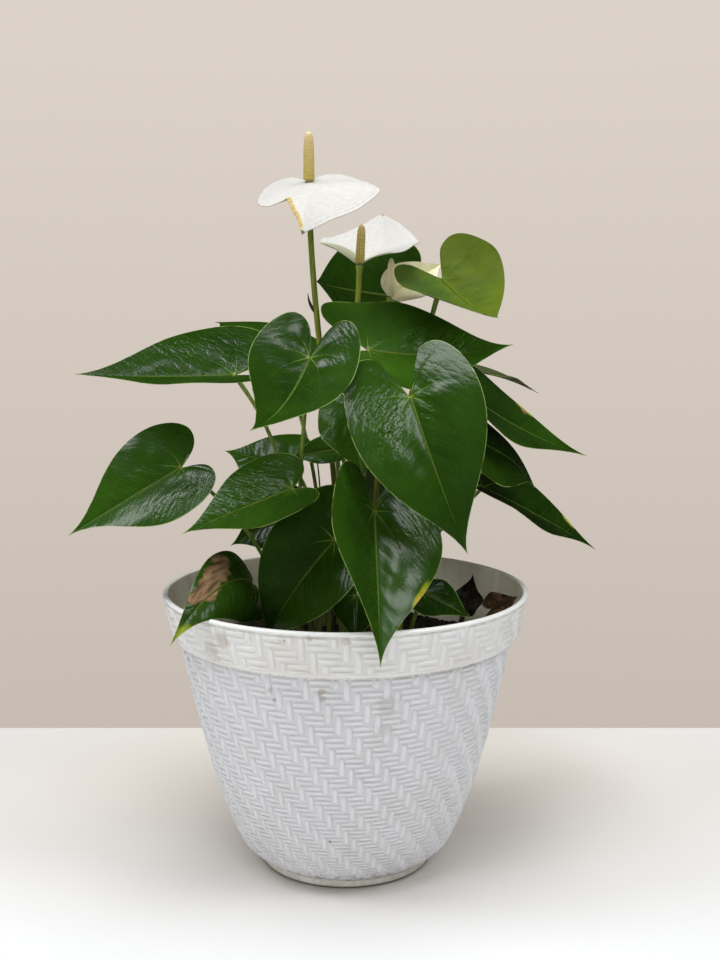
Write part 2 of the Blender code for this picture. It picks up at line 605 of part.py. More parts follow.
def main():
    """Clears the scene and builds the potted plant."""
    for thing in list(bpy.data.objects):
        bpy.data.objects.remove(thing)
    collection = bpy.data.collections.new("potted_anthurium")
    bpy.context.scene.collection.children.link(collection)
    materials = build_materials()
    leaves = {name: BLADE_DEFAULTS | leaf for name, leaf in LEAVES.items()}
    dead_leaves = {name: BLADE_DEFAULTS | leaf for name, leaf in DEAD_LEAVES.items()}
    blooms = {name: BLADE_DEFAULTS | bloom for name, bloom in BLOOMS.items()}

    holes = [(leaf["stem"], LEAF_STEM_RADIUS) for leaf in (leaves | dead_leaves).values()]
    holes += [(bloom["stem"], BLOOM_STEM_RADIUS) for bloom in blooms.values()]
    holes += [(stem["stem"], stem["radius"]) for stem in BARE_STEMS.values()]
    holes = [(stem, radius + HOLE_CLEARANCE) for stem, radius in holes]

    add_object("pot", turned_mesh(pot_section(), ROUND_STEPS), materials["pot"], collection)
    add_object("soil", soil_mesh(holes), materials["soil"], collection)
    for name, leaf in leaves.items():
        add_leaf(name, leaf, materials["leaf"], collection)
    for name, leaf in dead_leaves.items():
        add_leaf(name, leaf, materials["dead_leaf"], collection)
    for name, bloom in blooms.items():
        add_bloom(name, bloom, materials, collection)
    for name, stem in BARE_STEMS.items():
        add_bare_stem(name, stem, materials["bloom_stem"], collection)


main()
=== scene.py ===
# Potted anthurium: heart-shaped leaves, three white blooms and a planter with a woven relief.
# Metres, +Z up, the plant's front faces -Y. Angles in the dictionaries are in degrees.
import math

import bpy
import numpy as np
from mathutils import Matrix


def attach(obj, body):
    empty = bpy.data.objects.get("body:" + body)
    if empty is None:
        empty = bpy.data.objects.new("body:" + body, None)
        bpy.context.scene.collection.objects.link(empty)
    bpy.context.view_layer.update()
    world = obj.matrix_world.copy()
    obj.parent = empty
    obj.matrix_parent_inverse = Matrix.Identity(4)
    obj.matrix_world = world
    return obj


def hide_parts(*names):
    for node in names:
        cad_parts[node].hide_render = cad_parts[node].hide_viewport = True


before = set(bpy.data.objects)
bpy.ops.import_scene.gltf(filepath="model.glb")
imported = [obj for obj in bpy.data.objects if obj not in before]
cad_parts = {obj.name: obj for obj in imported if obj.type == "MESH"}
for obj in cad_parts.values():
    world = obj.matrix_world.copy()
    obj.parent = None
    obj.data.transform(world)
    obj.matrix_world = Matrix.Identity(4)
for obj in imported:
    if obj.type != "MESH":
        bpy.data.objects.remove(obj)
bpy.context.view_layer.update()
print("frame loaded:", len(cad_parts), "nodes")


# shader maths

class Wire:
    # one socket of a node tree: + - * / add Math nodes, and node() adds any other kind
    def __init__(self, tree, socket=None):
        self.tree = tree
        self.socket = socket

    def node(self, kind, settings=None, sockets=None, out=0):
        made = self.tree.nodes.new("ShaderNode" + kind)
        for name, value in (settings or {}).items():
            setattr(made, name, value)
        for key, value in (sockets or {}).items():
            if isinstance(value, Wire):
                self.tree.links.new(value.socket, made.inputs[key])
            else:
                made.inputs[key].default_value = value
        return Wire(self.tree, made.outputs[out])

    def maths(self, operation, first, second=0.0):
        return self.node("Math", {"operation": operation}, {0: first, 1: second})

    def __add__(self, other):
        return self.maths("ADD", self, other)

    def __radd__(self, other):
        return self.maths("ADD", other, self)

    def __sub__(self, other):
        return self.maths("SUBTRACT", self, other)

    def __rsub__(self, other):
        return self.maths("SUBTRACT", other, self)

    def __mul__(self, other):
        return self.maths("MULTIPLY", self, other)

    def __rmul__(self, other):
        return self.maths("MULTIPLY", other, self)

    def __truediv__(self, other):
        return self.maths("DIVIDE", self, other)

    def __pow__(self, other):
        return self.maths("POWER", self, other)

    def __abs__(self):
        return self.maths("ABSOLUTE", self)


def rising(value, low, high):
    # 0 below low, 1 above high, an S-shaped ramp between
    return value.node("MapRange", {"interpolation_type": "SMOOTHSTEP"},
                      {"Value": value, "From Min": low, "From Max": high})


def falling(value, low, high):
    return 1 - rising(value, low, high)


def tint(mask, under, over):
    # the under colour, turning to the over colour where the mask is 1
    sides = [side if isinstance(side, Wire) else (*side, 1) for side in (under, over)]
    return mask.node("Mix", {"data_type": "RGBA"}, {0: mask, 6: sides[0], 7: sides[1]}, 2)


def layered(colour, *layers):
    # each layer's colour laid over those below it, where the layer's mask is 1
    for mask, over in layers:
        colour = tint(mask, colour, over)
    return colour


def attributes(start, *names):
    return [start.node("Attribute", {"attribute_name": name}, None, "Fac") for name in names]


def objectPlace(start):
    return start.node("TexCoord", None, None, "Object")


def axisOf(place, axis):
    return place.node("SeparateXYZ", None, {0: place}, axis)


def joinPlace(start, x, y, z=0.0):
    return start.node("CombineXYZ", None, {"X": x, "Y": y, "Z": z})


def cloud(place, scale, detail, roughness):
    # smooth noise, about 0.5 in the middle of its range
    return place.node("TexNoise", None, {"Vector": place, "Scale": scale, "Detail": detail,
                                         "Roughness": roughness}, "Fac")


def cellEdge(place, scale):
    # distance to the nearest cell wall
    return place.node("TexVoronoi", {"feature": "DISTANCE_TO_EDGE"},
                      {"Vector": place, "Scale": scale}, "Distance")


def speck(place, scale, size, share):
    # small round dots: one in each cell, kept in that share of the cells
    near = place.node("TexVoronoi", None, {"Vector": place, "Scale": scale}, "Distance")
    chance = place.node("TexVoronoi", None, {"Vector": place, "Scale": scale}, "Color")
    level = chance.node("SeparateColor", None, {"Color": chance}, "Red")
    return falling(near, size * 0.6, size) * rising(level, 1 - share, 1 - share + 0.01)


def newFinish(name, **constants):
    # a material with those fixed values, its shader, and a wire to start from
    material = bpy.data.materials.new(name)
    material.use_nodes = True
    shader = material.node_tree.nodes["Principled BSDF"]
    for socket, value in constants.items():
        shader.inputs[socket.replace("_", " ")].default_value = value
    return material, shader, Wire(material.node_tree)


def feed(shader, **wires):
    for socket, wire in wires.items():
        wire.tree.links.new(wire.socket, shader.inputs[socket.replace("_", " ")])


def bumpOf(height, distance, strength):
    return height.node("Bump", None, {"Height": height, "Distance": distance, "Strength": strength},
                       "Normal")


# camera, light and floor

studio = {
    "cameraPlace": (0.0102, -0.900, 0.406),
    "cameraDown": 8.15,  # degrees below level
    "lens": 48.1,
    "wallHigh": (0.715, 0.645, 0.578),  # the plain wall behind, at its top and at the table
    "wallLow": (0.565, 0.500, 0.440),
    "wallRise": (-0.33, 0.18),  # from the low to the high colour, as the sine of the angle above level
    "airColour": (0.125, 0.113, 0.100),  # the even light from all sides
    "lampColour": (0.96, 0.98, 1.0),
    "mirrored": 0.12,  # how much of the even light glossy surfaces mirror
    "floorColour": (0.815, 0.815, 0.815),
    "floorWarmShade": (0.80, 0.745, 0.675),
    "floorShadeCentre": 0.16,  # how far behind the plant the middle of the painted warm shade lies
    "floorShadePatch": (0.05, 0.46),  # the plain colour turns to the painted warm shade between these distances from there
    "floorBack": 0.273,  # where the table ends behind the plant
    "floorSide": 2.0,  # and on its other sides
    # each lamp: its place, size, power, and whether glossy surfaces mirror it
    "lamps": {
        "left": ((-1.35, -0.28, 1.95), 0.75, 13, True),
        "right": ((1.30, -0.62, 1.65), 0.8, 12, True),
        "high": ((-0.30, -0.98, 2.35), 0.7, 9, True),
        "front": ((0.10, -2.20, 1.30), 1.6, 8.5, False),
        "side": ((-1.90, -1.30, 0.70), 0.8, 7, False),
        "back": ((0.70, 1.80, 1.30), 1.2, 2.5, False),
        "top": ((0.05, -0.10, 3.40), 2.2, 80, False),
    },
}


def makeCamera(look):
    camera = bpy.data.cameras.new("camera")
    camera.lens = look["lens"]
    camera.sensor_width = 36
    camera.clip_end = 20
    holder = bpy.data.objects.new("camera", camera)
    holder.location = look["cameraPlace"]
    holder.rotation_euler = (math.radians(90 - look["cameraDown"]), 0, 0)
    bpy.context.scene.collection.objects.link(holder)
    bpy.context.scene.camera = holder


def makeLamp(name, colour, place, size, power, mirrored):
    # a square soft lamp that looks at the middle of the plant
    lamp = bpy.data.lights.new(name, "AREA")
    lamp.size = size
    lamp.energy = power
    lamp.color = colour
    holder = bpy.data.objects.new(name, lamp)
    holder.visible_glossy = mirrored
    holder.location = place
    aim = np.array([0, 0, 0.25]) - np.array(place)
    holder.rotation_euler = (math.atan2(math.hypot(aim[0], aim[1]), -aim[2]), 0,
                             math.atan2(aim[1], aim[0]) - math.pi / 2)
    bpy.context.scene.collection.objects.link(holder)


def makeStudio(look):
    # a plain wall all round, a little darker low down, and an even light of its own, which glossy
    # surfaces mirror dimmer than it is
    world = bpy.data.worlds.new("room")
    world.use_nodes = True
    start = Wire(world.node_tree)
    heading = start.node("TexCoord", None, None, "Generated")
    low, high = look["wallRise"]
    rise = start.node("MapRange", None, {"Value": axisOf(heading, "Z"), "From Min": low, "From Max": high})
    ramp = start.node("ValToRGB", None, {0: rise})
    for element, colour in zip(ramp.socket.node.color_ramp.elements, (look["wallLow"], look["wallHigh"])):
        element.color = (*colour, 1)
    wall = start.node("Background", None, {"Color": ramp})
    glossy = start.node("LightPath", None, None, "Is Glossy Ray")
    seen = start.node("LightPath", None, None, "Is Camera Ray")
    dim = start.node("MapRange", None, {"Value": glossy, "To Min": 1, "To Max": look["mirrored"]})
    air = start.node("Background", None, {"Color": (*look["airColour"], 1), "Strength": dim})
    both = start.node("MixShader", None, {0: seen, 1: air, 2: wall})
    start.tree.links.new(both.socket, start.tree.nodes["World Output"].inputs[0])
    bpy.context.scene.world = world
    bpy.context.scene.view_settings.view_transform = "Standard"
    for name, settings in look["lamps"].items():
        makeLamp(name, look["lampColour"], *settings)


makeCamera(studio)
makeStudio(studio)
print("camera and light set")


# meshes from grids

def gridQuads(rows, columns, ring=False, flip=False):
    # quads between neighbours of a grid of points; ring joins the last column to the first
    i = np.arange(rows - 1)[:, None]
    j = np.arange(columns if ring else columns - 1)[None]
    after = (j + 1) % columns
    corners = [i * columns + j, (i + 1) * columns + j, (i + 1) * columns + after, i * columns + after]
    quads = np.stack(corners, -1).reshape(-1, 4)
    return quads[:, ::-1] if flip else quads


def part(points, quads, finish=0, **fields):
    # one surface of a piece: points, quads, which finish each quad has, and fields at the points
    points = np.asarray(points).reshape(-1, 3)
    finish = np.full(len(quads), finish) if np.isscalar(finish) else finish
    return {"points": points, "quads": quads, "finish": finish,
            "fields": {name: np.broadcast_to(value, len(points)) for name, value in fields.items()}}


def makePiece(name, parts, finishes, replaced=(), sharp=50):
    # joins the parts into one mesh, welds points at one place, splits quads and drops flat triangles;
    # edges bent by more than sharp degrees stay sharp
    weld = 1e-7
    points = np.concatenate([each["points"] for each in parts])
    starts = np.cumsum([0] + [len(each["points"]) for each in parts[:-1]])
    quads = np.concatenate([each["quads"] + start for each, start in zip(parts, starts)])
    finish = np.concatenate([each["finish"] for each in parts])
    spots = np.round(points / weld).astype(np.int64)
    _, first, home = np.unique(spots, axis=0, return_index=True, return_inverse=True)
    corners = home.reshape(-1)[quads]
    triangles = np.concatenate([corners[:, [0, 1, 2]], corners[:, [0, 2, 3]]])
    finish = np.concatenate([finish, finish])
    a, b, c = triangles.T
    whole = (a != b) & (b != c) & (c != a)
    triangles, finish = triangles[whole], finish[whole]
    mesh = bpy.data.meshes.new(name)
    mesh.vertices.add(len(first))
    mesh.vertices.foreach_set("co", points[first].astype(np.float32).ravel())
    mesh.loops.add(3 * len(triangles))
    mesh.loops.foreach_set("vertex_index", triangles.astype(np.int32).ravel())
    mesh.polygons.add(len(triangles))
    mesh.polygons.foreach_set("loop_start", np.arange(0, 3 * len(triangles), 3, dtype=np.int32))
    for material in finishes:
        mesh.materials.append(material)
    mesh.polygons.foreach_set("material_index", finish.astype(np.int32))
    names = {field: None for each in parts for field in each["fields"]}
    for field in names:
        values = np.concatenate([np.asarray(each["fields"].get(field, np.zeros(len(each["points"]))))
                                 for each in parts])
        layer = mesh.attributes.new(field, "FLOAT", "POINT")
        layer.data.foreach_set("value", values[first].astype(np.float32))
    mesh.update(calc_edges=True)
    mesh.validate()
    mesh.shade_smooth()
    mesh.set_sharp_from_angle(angle=math.radians(sharp))
    piece = bpy.data.objects.new(name, mesh)
    bpy.context.scene.collection.objects.link(piece)
    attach(piece, "root")
    if replaced:
        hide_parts(*replaced)


def unit(vectors):
    return vectors / np.linalg.norm(vectors, axis=-1, keepdims=True)


def lengthAlong(path):
    # the way from a path's first point to each of its points
    return np.concatenate([[0], np.cumsum(np.linalg.norm(np.diff(path, axis=0), axis=1))])


def tube(path, radii, sides, finish=0, **fields):
    # a round profile carried along a path: path + r (cos a * side + sin a * up), with closed ends;
    # a field has one value, or one for each point of the path
    path = np.asarray(path)
    along = unit(np.gradient(path, axis=0))
    worst = np.abs(along).max(0)
    side = unit(np.cross(along, np.eye(3)[np.argmin(worst)]))
    up = np.cross(along, side)
    angle = np.linspace(0, 2 * np.pi, sides, endpoint=False)[None, :, None]
    ring = np.cos(angle) * side[:, None] + np.sin(angle) * up[:, None]
    points = path[:, None] + np.broadcast_to(radii, len(path))[:, None, None] * ring
    first, last = (np.repeat(path[[end]], sides, 0)[None] for end in (0, -1))
    points = np.concatenate([first, points, last])
    rings = np.clip(np.arange(-1, len(path) + 1), 0, len(path) - 1)
    spread = {name: np.repeat(np.broadcast_to(value, len(path))[rings], sides)
              for name, value in fields.items()}
    return part(points, gridQuads(len(path) + 2, sides, ring=True, flip=True), finish, **spread)


def turned(profile, steps, **fields):
    # a profile of (radius, height) turned once round the pot's axis
    profile = np.asarray(profile)
    angle = np.linspace(0, 2 * np.pi, steps, endpoint=False)
    points = np.stack([profile[:, :1] * np.cos(angle), profile[:, :1] * np.sin(angle),
                       profile[:, 1:] + 0 * angle], -1)
    return part(points, gridQuads(len(profile), steps, ring=True, flip=True), **fields)


def roundedProfile(corners, cut, steps=5):
    # each corner becomes an arc: (1-t)^2 a + 2 t (1-t) corner + t^2 b, a and b lying cut away from it
    corners = np.asarray(corners, dtype=float)
    middle = corners[1:-1]
    reach = np.broadcast_to(cut, len(middle))[:, None]
    back = corners[:-2] - middle
    ahead = corners[2:] - middle
    backReach = np.minimum(reach, 0.45 * np.linalg.norm(back, axis=1, keepdims=True))
    aheadReach = np.minimum(reach, 0.45 * np.linalg.norm(ahead, axis=1, keepdims=True))
    start = (middle + unit(back) * backReach)[:, None]
    end = (middle + unit(ahead) * aheadReach)[:, None]
    t = np.linspace(0, 1, steps)[None, :, None]
    arcs = (1 - t) ** 2 * start + 2 * t * (1 - t) * middle[:, None] + t ** 2 * end
    return np.vstack([corners[:1], arcs.reshape(-1, 2), corners[-1:]])


def lumps(x, y, size, seed, waves=14):
    # smooth random ground, about -1 to 1: sines of that size in all directions, added
    chance = np.random.default_rng(seed)
    total = np.zeros(np.shape(x))
    for turn, phase, stretch in zip(chance.uniform(0, np.pi, waves), chance.uniform(0, 2 * np.pi, waves),
                                    chance.uniform(0.7, 1.4, waves)):
        step = 2 * np.pi / (size * stretch)
        total = total + np.sin(step * (x * math.cos(turn) + y * math.sin(turn)) + phase)
    return total / math.sqrt(waves)


def smoothStep(value, low, high):
    share = np.clip((value - low) / (high - low), 0, 1)
    return share * share * (3 - 2 * share)


# table

def makeTable(look):
    # the plain table top, ending behind the plant, with a painted warm shade beside and behind it
    back, side = look["floorBack"], look["floorSide"]
    corners = [(-side, -side, 0), (side, -side, 0), (side, back, 0), (-side, back, 0)]
    floor = bpy.data.meshes.new("floor")
    floor.from_pydata(corners, [], [(0, 1, 2, 3)])
    material, shader, start = newFinish("table", Roughness=0.45)
    place = objectPlace(start)
    x, y = axisOf(place, "X"), axisOf(place, "Y")
    y = y - look["floorShadeCentre"]
    away = x.maths("SQRT", x * x * 0.55 + y * y * 1.6)
    # painted warm shade near the plant, fading to the plain colour further away
    colour = tint(falling(away, *look["floorShadePatch"]), look["floorColour"], look["floorWarmShade"])
    feed(shader, Base_Color=colour)
    floor.materials.append(material)
    holder = bpy.data.objects.new("floor", floor)
    holder.visible_glossy = False
    bpy.context.scene.collection.objects.link(holder)


makeTable(studio)
print("table set")


# planter

potShape = {
    "height": 0.200,
    "rimRadius": 0.130,
    "wall": 0.0025,
    "lipWidth": 0.004,
    "lipHeight": 0.003,
    "collarBottom": 0.169,
    "collarLowRadius": 0.1225,
    "bodyTopRadius": 0.1176,
    "bodyLowRadius": 0.0625,
    "bodyFullness": 0.59,
    "tuckHigh": 0.020,  # the body draws in below this height
    "tuck": 24,
    "ringRadius": 0.0614,
    "ringHeight": 0.0060,
    "floorThickness": 0.004,
    "steps": 160,
}
weaveLook = {
    "repeats": 28,  # staircases round the pot
    "rows": (-4, 46),  # the first unit of a staircase begins above the wall's top edge
    "step": (0.265, -0.328),  # from one unit to the next, in widths of a repeat
    "upright": (0.000, 0.000, 0.146, -0.556),  # left, top, right and bottom of a unit's upright bar
    "level": ((0.176, -0.004, 0.700, -0.110), (0.176, -0.166, 0.700, -0.272)),
    "shortest": 0.06,  # bars that an edge cuts shorter than this are left out
    "bodyHigh": 0.1660,
    "bodyLow": 0.0078,
    "bodyFade": 0.012,  # the body's relief grows to its full height over this one
    "collarHigh": 0.1960,
    "collarLow": 0.1712,
    "relief": 0.0017,
    "collarRelief": 0.0012,
    "sunk": 0.0001,  # how far a bar's edges lie inside the wall
}
potColours = {
    "plastic": (0.855, 0.857, 0.875),
    "greyed": (0.785, 0.78, 0.78),
    "collar": (0.91, 0.91, 0.90),
    "collarGreyed": (0.85, 0.83, 0.79),
    "gap": (0.40, 0.395, 0.395),  # painted shade between the bars
    "lip": (0.93, 0.93, 0.91),
    "seamShadeAndDirt": (0.42, 0.33, 0.24),  # painted shade with dirt under the lip and the collar
    "grime": (0.20, 0.15, 0.10),  # dirt on the body's foot
    "ring": (0.80, 0.77, 0.69),
    "ringPale": (0.96, 0.94, 0.87),
    # painted contact shadow with dirt along the foot's bottom edge
    "footEdgeShadeAndDirt": (0.13, 0.115, 0.085),
    "inside": (0.97, 0.91, 0.78),
    "insideStreak": (0.84, 0.76, 0.61),
}
# stains on the planter: a place, its size, its colour and how strong it is
planterStains = [
    ((-0.0371, -0.1231, 0.1931), 0.0016, (0.42, 0.20, 0.07), 0.9),
    ((-0.0400, -0.1222, 0.1931), 0.0020, (0.60, 0.42, 0.28), 0.5),
    ((-0.0214, -0.1275, 0.1959), 0.0030, (0.50, 0.46, 0.42), 0.6),
    ((-0.0475, -0.1047, 0.1561), 0.0032, (0.45, 0.36, 0.27), 0.45),
    ((-0.0444, -0.1046, 0.1494), 0.0022, (0.36, 0.34, 0.32), 0.6),
    ((-0.0139, -0.1145, 0.1580), 0.0034, (0.47, 0.38, 0.25), 0.55),
    ((-0.0133, -0.1134, 0.1530), 0.0030, (0.42, 0.38, 0.31), 0.45),
    ((-0.0859, -0.0906, 0.1785), 0.0090, (0.60, 0.55, 0.48), 0.6),
    ((-0.0783, -0.1003, 0.1879), 0.0080, (0.55, 0.49, 0.42), 0.6),
    ((0.0281, -0.1097, 0.1477), 0.0110, (0.56, 0.54, 0.50), 0.4),
    ((0.0243, -0.1067, 0.1301), 0.0070, (0.58, 0.57, 0.55), 0.35),
    ((0.0009, -0.1290, 0.1951), 0.0040, (0.62, 0.53, 0.46), 0.5),
    ((-0.0098, -0.0860, 0.0452), 0.0016, (0.22, 0.22, 0.22), 0.8),
    ((0.0115, -0.0822, 0.0357), 0.0014, (0.28, 0.22, 0.16), 0.8),
    ((0.0582, -0.0634, 0.0438), 0.0015, (0.25, 0.25, 0.25), 0.7),
    ((0.0436, -0.0947, 0.1076), 0.0017, (0.35, 0.35, 0.36), 0.6),
]


def bodyRadius(z, shape=potShape):
    # low radius plus the rise to the top radius times (share of the height) to the power of the
    # fullness, less tuck * (height below tuckHigh)^2
    share = np.clip((z - 0.005) / (shape["collarBottom"] - 0.005), 0, 1)
    return shape["bodyLowRadius"] + (shape["bodyTopRadius"] - shape["bodyLowRadius"]) * \
        share ** shape["bodyFullness"] - shape["tuck"] * np.maximum(0, shape["tuckHigh"] - z) ** 2


def floorRadius(shape=potShape):
    # where the inner floor begins to round up to the wall
    return bodyRadius(shape["floorThickness"] + 0.004) - 2.4 * shape["wall"]


def collarRadius(z, shape=potShape):
    # a straight taper from under the lip to the collar's lower edge
    share = (z - shape["collarBottom"]) / (shape["height"] - shape["lipHeight"] - shape["collarBottom"])
    return shape["collarLowRadius"] + (shape["rimRadius"] - 0.0012 - shape["collarLowRadius"]) * share


def potProfile(shape=potShape):
    # the planter's section, from the middle of its inner floor over the lip to that of its underside
    top, rim, wall = shape["height"], shape["rimRadius"], shape["wall"]
    inner = rim - shape["lipWidth"]
    heights = np.linspace(shape["floorThickness"] + 0.006, shape["collarBottom"] - 0.003, 26)
    inside = np.stack([bodyRadius(heights) - wall, heights], -1)
    low = shape["floorThickness"]
    start = np.array([(0, low), (floorRadius(shape), low)])
    bend = shape["collarBottom"]
    lipLow = top - shape["lipHeight"]
    mouth = roundedProfile([inside[-1], (collarRadius(bend + 0.003) - wall, bend + 0.003),
                            (inner - 0.001, lipLow - 0.003), (inner, top - 0.0006), (inner + 0.0008, top),
                            (rim - 0.0009, top), (rim, top - 0.0011), (rim - 0.0001, lipLow + 0.0009),
                            (rim - 0.0016, lipLow + 0.0002),
                            (collarRadius(lipLow - 0.0006), lipLow - 0.0006),
                            (collarRadius(bend + 0.0026), bend + 0.0026),
                            (collarRadius(bend + 0.0020) + 0.0005, bend + 0.0018),
                            (collarRadius(bend) + 0.0005, bend + 0.0006),
                            (collarRadius(bend) - 0.0006, bend - 0.0008),
                            (bodyRadius(bend - 0.0012) - 0.0004, bend - 0.0012),
                            (bodyRadius(bend - 0.004), bend - 0.004)], 0.0006)
    ringHigh, ring = shape["ringHeight"], shape["ringRadius"]
    down = np.linspace(1, 0, 60) ** 1.5
    heights = ringHigh + (bend - 0.006 - ringHigh) * down
    outside = np.stack([bodyRadius(heights), heights], -1)
    foot = roundedProfile([outside[-1], (ring + 0.0002, ringHigh - 0.0007), (ring, 0.0014),
                           (ring - 0.0014, 0.0), (0, 0)], 0.0005)
    return np.vstack([start, inside[:-1], mouth, outside[:-1], foot])


def weaveBars(look):
    # the left, top, right and bottom of every bar, in repeats round the pot and down from the top
    rows = np.arange(*look["rows"])
    columns = np.arange(look["repeats"])
    across = (columns[:, None] + rows * look["step"][0]) % look["repeats"]
    down = np.broadcast_to(rows * look["step"][1], across.shape)
    bars = np.array([look["upright"], *look["level"]])
    corner = np.stack([across, down, across, down], -1).reshape(-1, 1, 4)
    upright = np.broadcast_to([True, False, False], (corner.shape[0], 3))
    return (corner + bars).reshape(-1, 4), upright.reshape(-1)


def weavePart(radiusAt, high, low, relief, fadeHeight=0, look=weaveLook):
    # raised bars on a turned wall. The heights of the pattern's repeats follow the sum of
    # dz over the width of a repeat, so the weave keeps its shape as the pot narrows
    heights = np.linspace(high, low, 400)
    radii = radiusAt(heights)
    lengths = np.hypot(np.diff(heights), np.diff(radii))
    widths = 2 * np.pi * radii / look["repeats"]
    depth = np.concatenate([[0], np.cumsum(-lengths / ((widths[1:] + widths[:-1]) / 2))])
    bars, upright = weaveBars(look)
    top, bottom = np.minimum(bars[:, 1], 0), np.maximum(bars[:, 3], depth[-1])
    kept = top - bottom > look["shortest"]
    left, right, top, bottom, standing = (values[kept, None, None] for values in (
        bars[:, 0], bars[:, 2], top, bottom, upright))
    longSteps = np.array([-1, -0.90, -0.3, 0.3, 0.90, 1])
    shortSteps = np.array([-1, -0.78, -0.30, 0.30, 0.78, 1])
    longWay, shortWay = np.meshgrid(longSteps, shortSteps, indexing="ij")
    ends = np.clip(1 - np.abs(longWay) ** 8, 0, 1) ** 0.6
    flat = np.clip(1 - np.abs(shortWay) ** 5, 0, 1) ** 0.5 * ends
    domed = np.clip(1 - np.abs(shortWay) ** 2.2, 0, 1) ** 0.6 * ends
    raised = np.where(standing, flat, domed)
    narrow = 1 - np.where(standing, 0.30, 0.10) * np.abs(longWay) ** 8
    across = np.where(standing, shortWay * narrow, longWay)
    down = np.where(standing, -longWay, -shortWay * narrow)
    turn = ((left + right) / 2 + across * (right - left) / 2) * 2 * np.pi / look["repeats"]
    z = np.interp(-((top + bottom) / 2 - down * (top - bottom) / 2), -depth, heights)
    fade = 0.35 + 0.65 * smoothStep(z, low, low + fadeHeight) if fadeHeight else 1
    radius = radiusAt(z) - look["sunk"] + (relief * fade + look["sunk"]) * raised
    points = np.stack([radius * np.cos(turn), radius * np.sin(turn), z], -1)
    count, rows, columns = z.shape
    corners = np.array([0, columns - 1, rows * columns - 1, (rows - 1) * columns])
    quads = np.concatenate([gridQuads(rows, columns), corners[None, ::-1]])
    flips = np.repeat(standing.reshape(-1), len(quads))
    quads = (np.arange(count)[:, None, None] * rows * columns + quads).reshape(-1, 4)
    quads[flips] = quads[flips][:, ::-1]
    return part(points, quads, ridge=raised.reshape(-1))


def stain(place, centre, size, ragged):
    # 1 near the centre, 0 beyond the size, with a ragged edge
    away = place.node("VectorMath", {"operation": "DISTANCE"}, {0: place, 1: centre}, "Value")
    return falling(away / size + ragged, 0.35, 1.0)


def potFinish(paint=potColours):
    # white plastic with painted shade in its weave's gaps and, with dirt, under the lip, the collar and
    # along the foot; greyer with dust and brown with dirt in places
    material, shader, start = newFinish("planter_plastic", IOR=1.46)
    place = objectPlace(start)
    x, y, height = (axisOf(place, axis) for axis in "XYZ")
    ridge, inside = attributes(start, "ridge", "inner")
    grime = cloud(place, 28, 5, 0.62)
    fine = cloud(place, 190, 4, 0.6)
    onCollar = rising(height, 0.1675, 0.1690)
    collar = tint(rising(grime, 0.35, 0.65), paint["collar"], paint["collarGreyed"])
    # painted shade in the weave's gaps where ridge is low, weaker near the foot and on the collar
    gap = falling(ridge, 0.0, 0.35) * (0.05 + 0.11 * rising(height, 0.0, 0.09) - 0.06 * onCollar)
    lip = rising(height, 0.1972, 0.1978)
    # painted shade with dirt in thin lines under the collar's edge and under the lip
    seamShadeAndDirtMask = falling(abs(height - 0.1683), 0.0004, 0.0014)
    seamShadeAndDirtMask = seamShadeAndDirtMask + falling(abs(height - 0.1965), 0.0002, 0.0009) * 0.7
    low = falling(height, 0.008, 0.018) * rising(fine, 0.49, 0.61)
    ring = tint(rising(fine, 0.35, 0.65), paint["ring"], paint["ringPale"])
    stains = [(stain(place, centre, size, (fine - 0.5) * 1.6) * strength, shade)
              for centre, size, shade, strength in planterStains]
    streak = cloud(joinPlace(start, x * 60, y * 60, height * 4), 1.0, 3, 0.6)
    bare = tint(rising(streak, 0.35, 0.65), paint["inside"], paint["insideStreak"])
    colour = tint(rising(grime, 0.42, 0.72) * 0.6, paint["plastic"], paint["greyed"])
    colour = layered(colour, (onCollar, collar), (gap, paint["gap"]), (lip * 0.9, paint["lip"]),
                     (seamShadeAndDirtMask * rising(fine, 0.30, 0.65) * 0.6, paint["seamShadeAndDirt"]), (low * 0.8, paint["grime"]),
                     (falling(height, 0.0054, 0.0064), ring),
                     # painted contact shadow with dirt darkening the foot's bottom edge
                     (falling(height, 0.0008, 0.0026) * 0.85, paint["footEdgeShadeAndDirt"]), *stains, (inside, bare))
    rough = 0.34 + grime * 0.22 - lip * 0.12
    feed(shader, Base_Color=colour, Roughness=rough, Normal=bumpOf(fine, 0.00006, 0.5))
    return material


def makePot(shape=potShape, look=weaveLook):
    # ridge is 0 on the walls between the bars, and inner is 1 inside the pot
    finish = potFinish()
    profile = potProfile(shape)
    z = profile[:, 1]
    row = np.arange(len(profile))
    lip = np.argmax(z)
    onBody = (z > look["bodyLow"] - 0.001) & (z < look["bodyHigh"])
    onCollar = (z > look["collarLow"]) & (z < look["collarHigh"])
    ridge = np.where((onBody | onCollar) & (row > lip), 0.0, 1.0)
    shell = turned(profile, shape["steps"], ridge=np.repeat(ridge, shape["steps"]),
                   inner=np.repeat((row < lip).astype(float), shape["steps"]))
    makePiece("planter", [shell], [finish], ["pot"])
    body = weavePart(bodyRadius, look["bodyHigh"], look["bodyLow"], look["relief"], look["bodyFade"])
    makePiece("planter_weave", [body], [finish], sharp=70)
    collar = weavePart(collarRadius, look["collarHigh"], look["collarLow"], look["collarRelief"])
    makePiece("collar_weave", [collar], [finish], sharp=70)


makePot()
print("planter made")


# soil

soilShape = {
    "level": 0.153,
    "heap": 0.008,
    "heapRadius": 0.1176,
    "edgeRadius": 0.1126,
    "settle": 0.004,  # this near its edge the heap comes down to its level
    "bump": 0.0012,
    "underside": 0.0046,
    "inset": 0.0029,  # from the pot's outside to the soil
    "rings": 110,
    "steps": 260,
    "crumbs": 620,
    "crumbSize": (0.0011, 0.0026),  # the smallest crumb, and how much is added for the largest
}


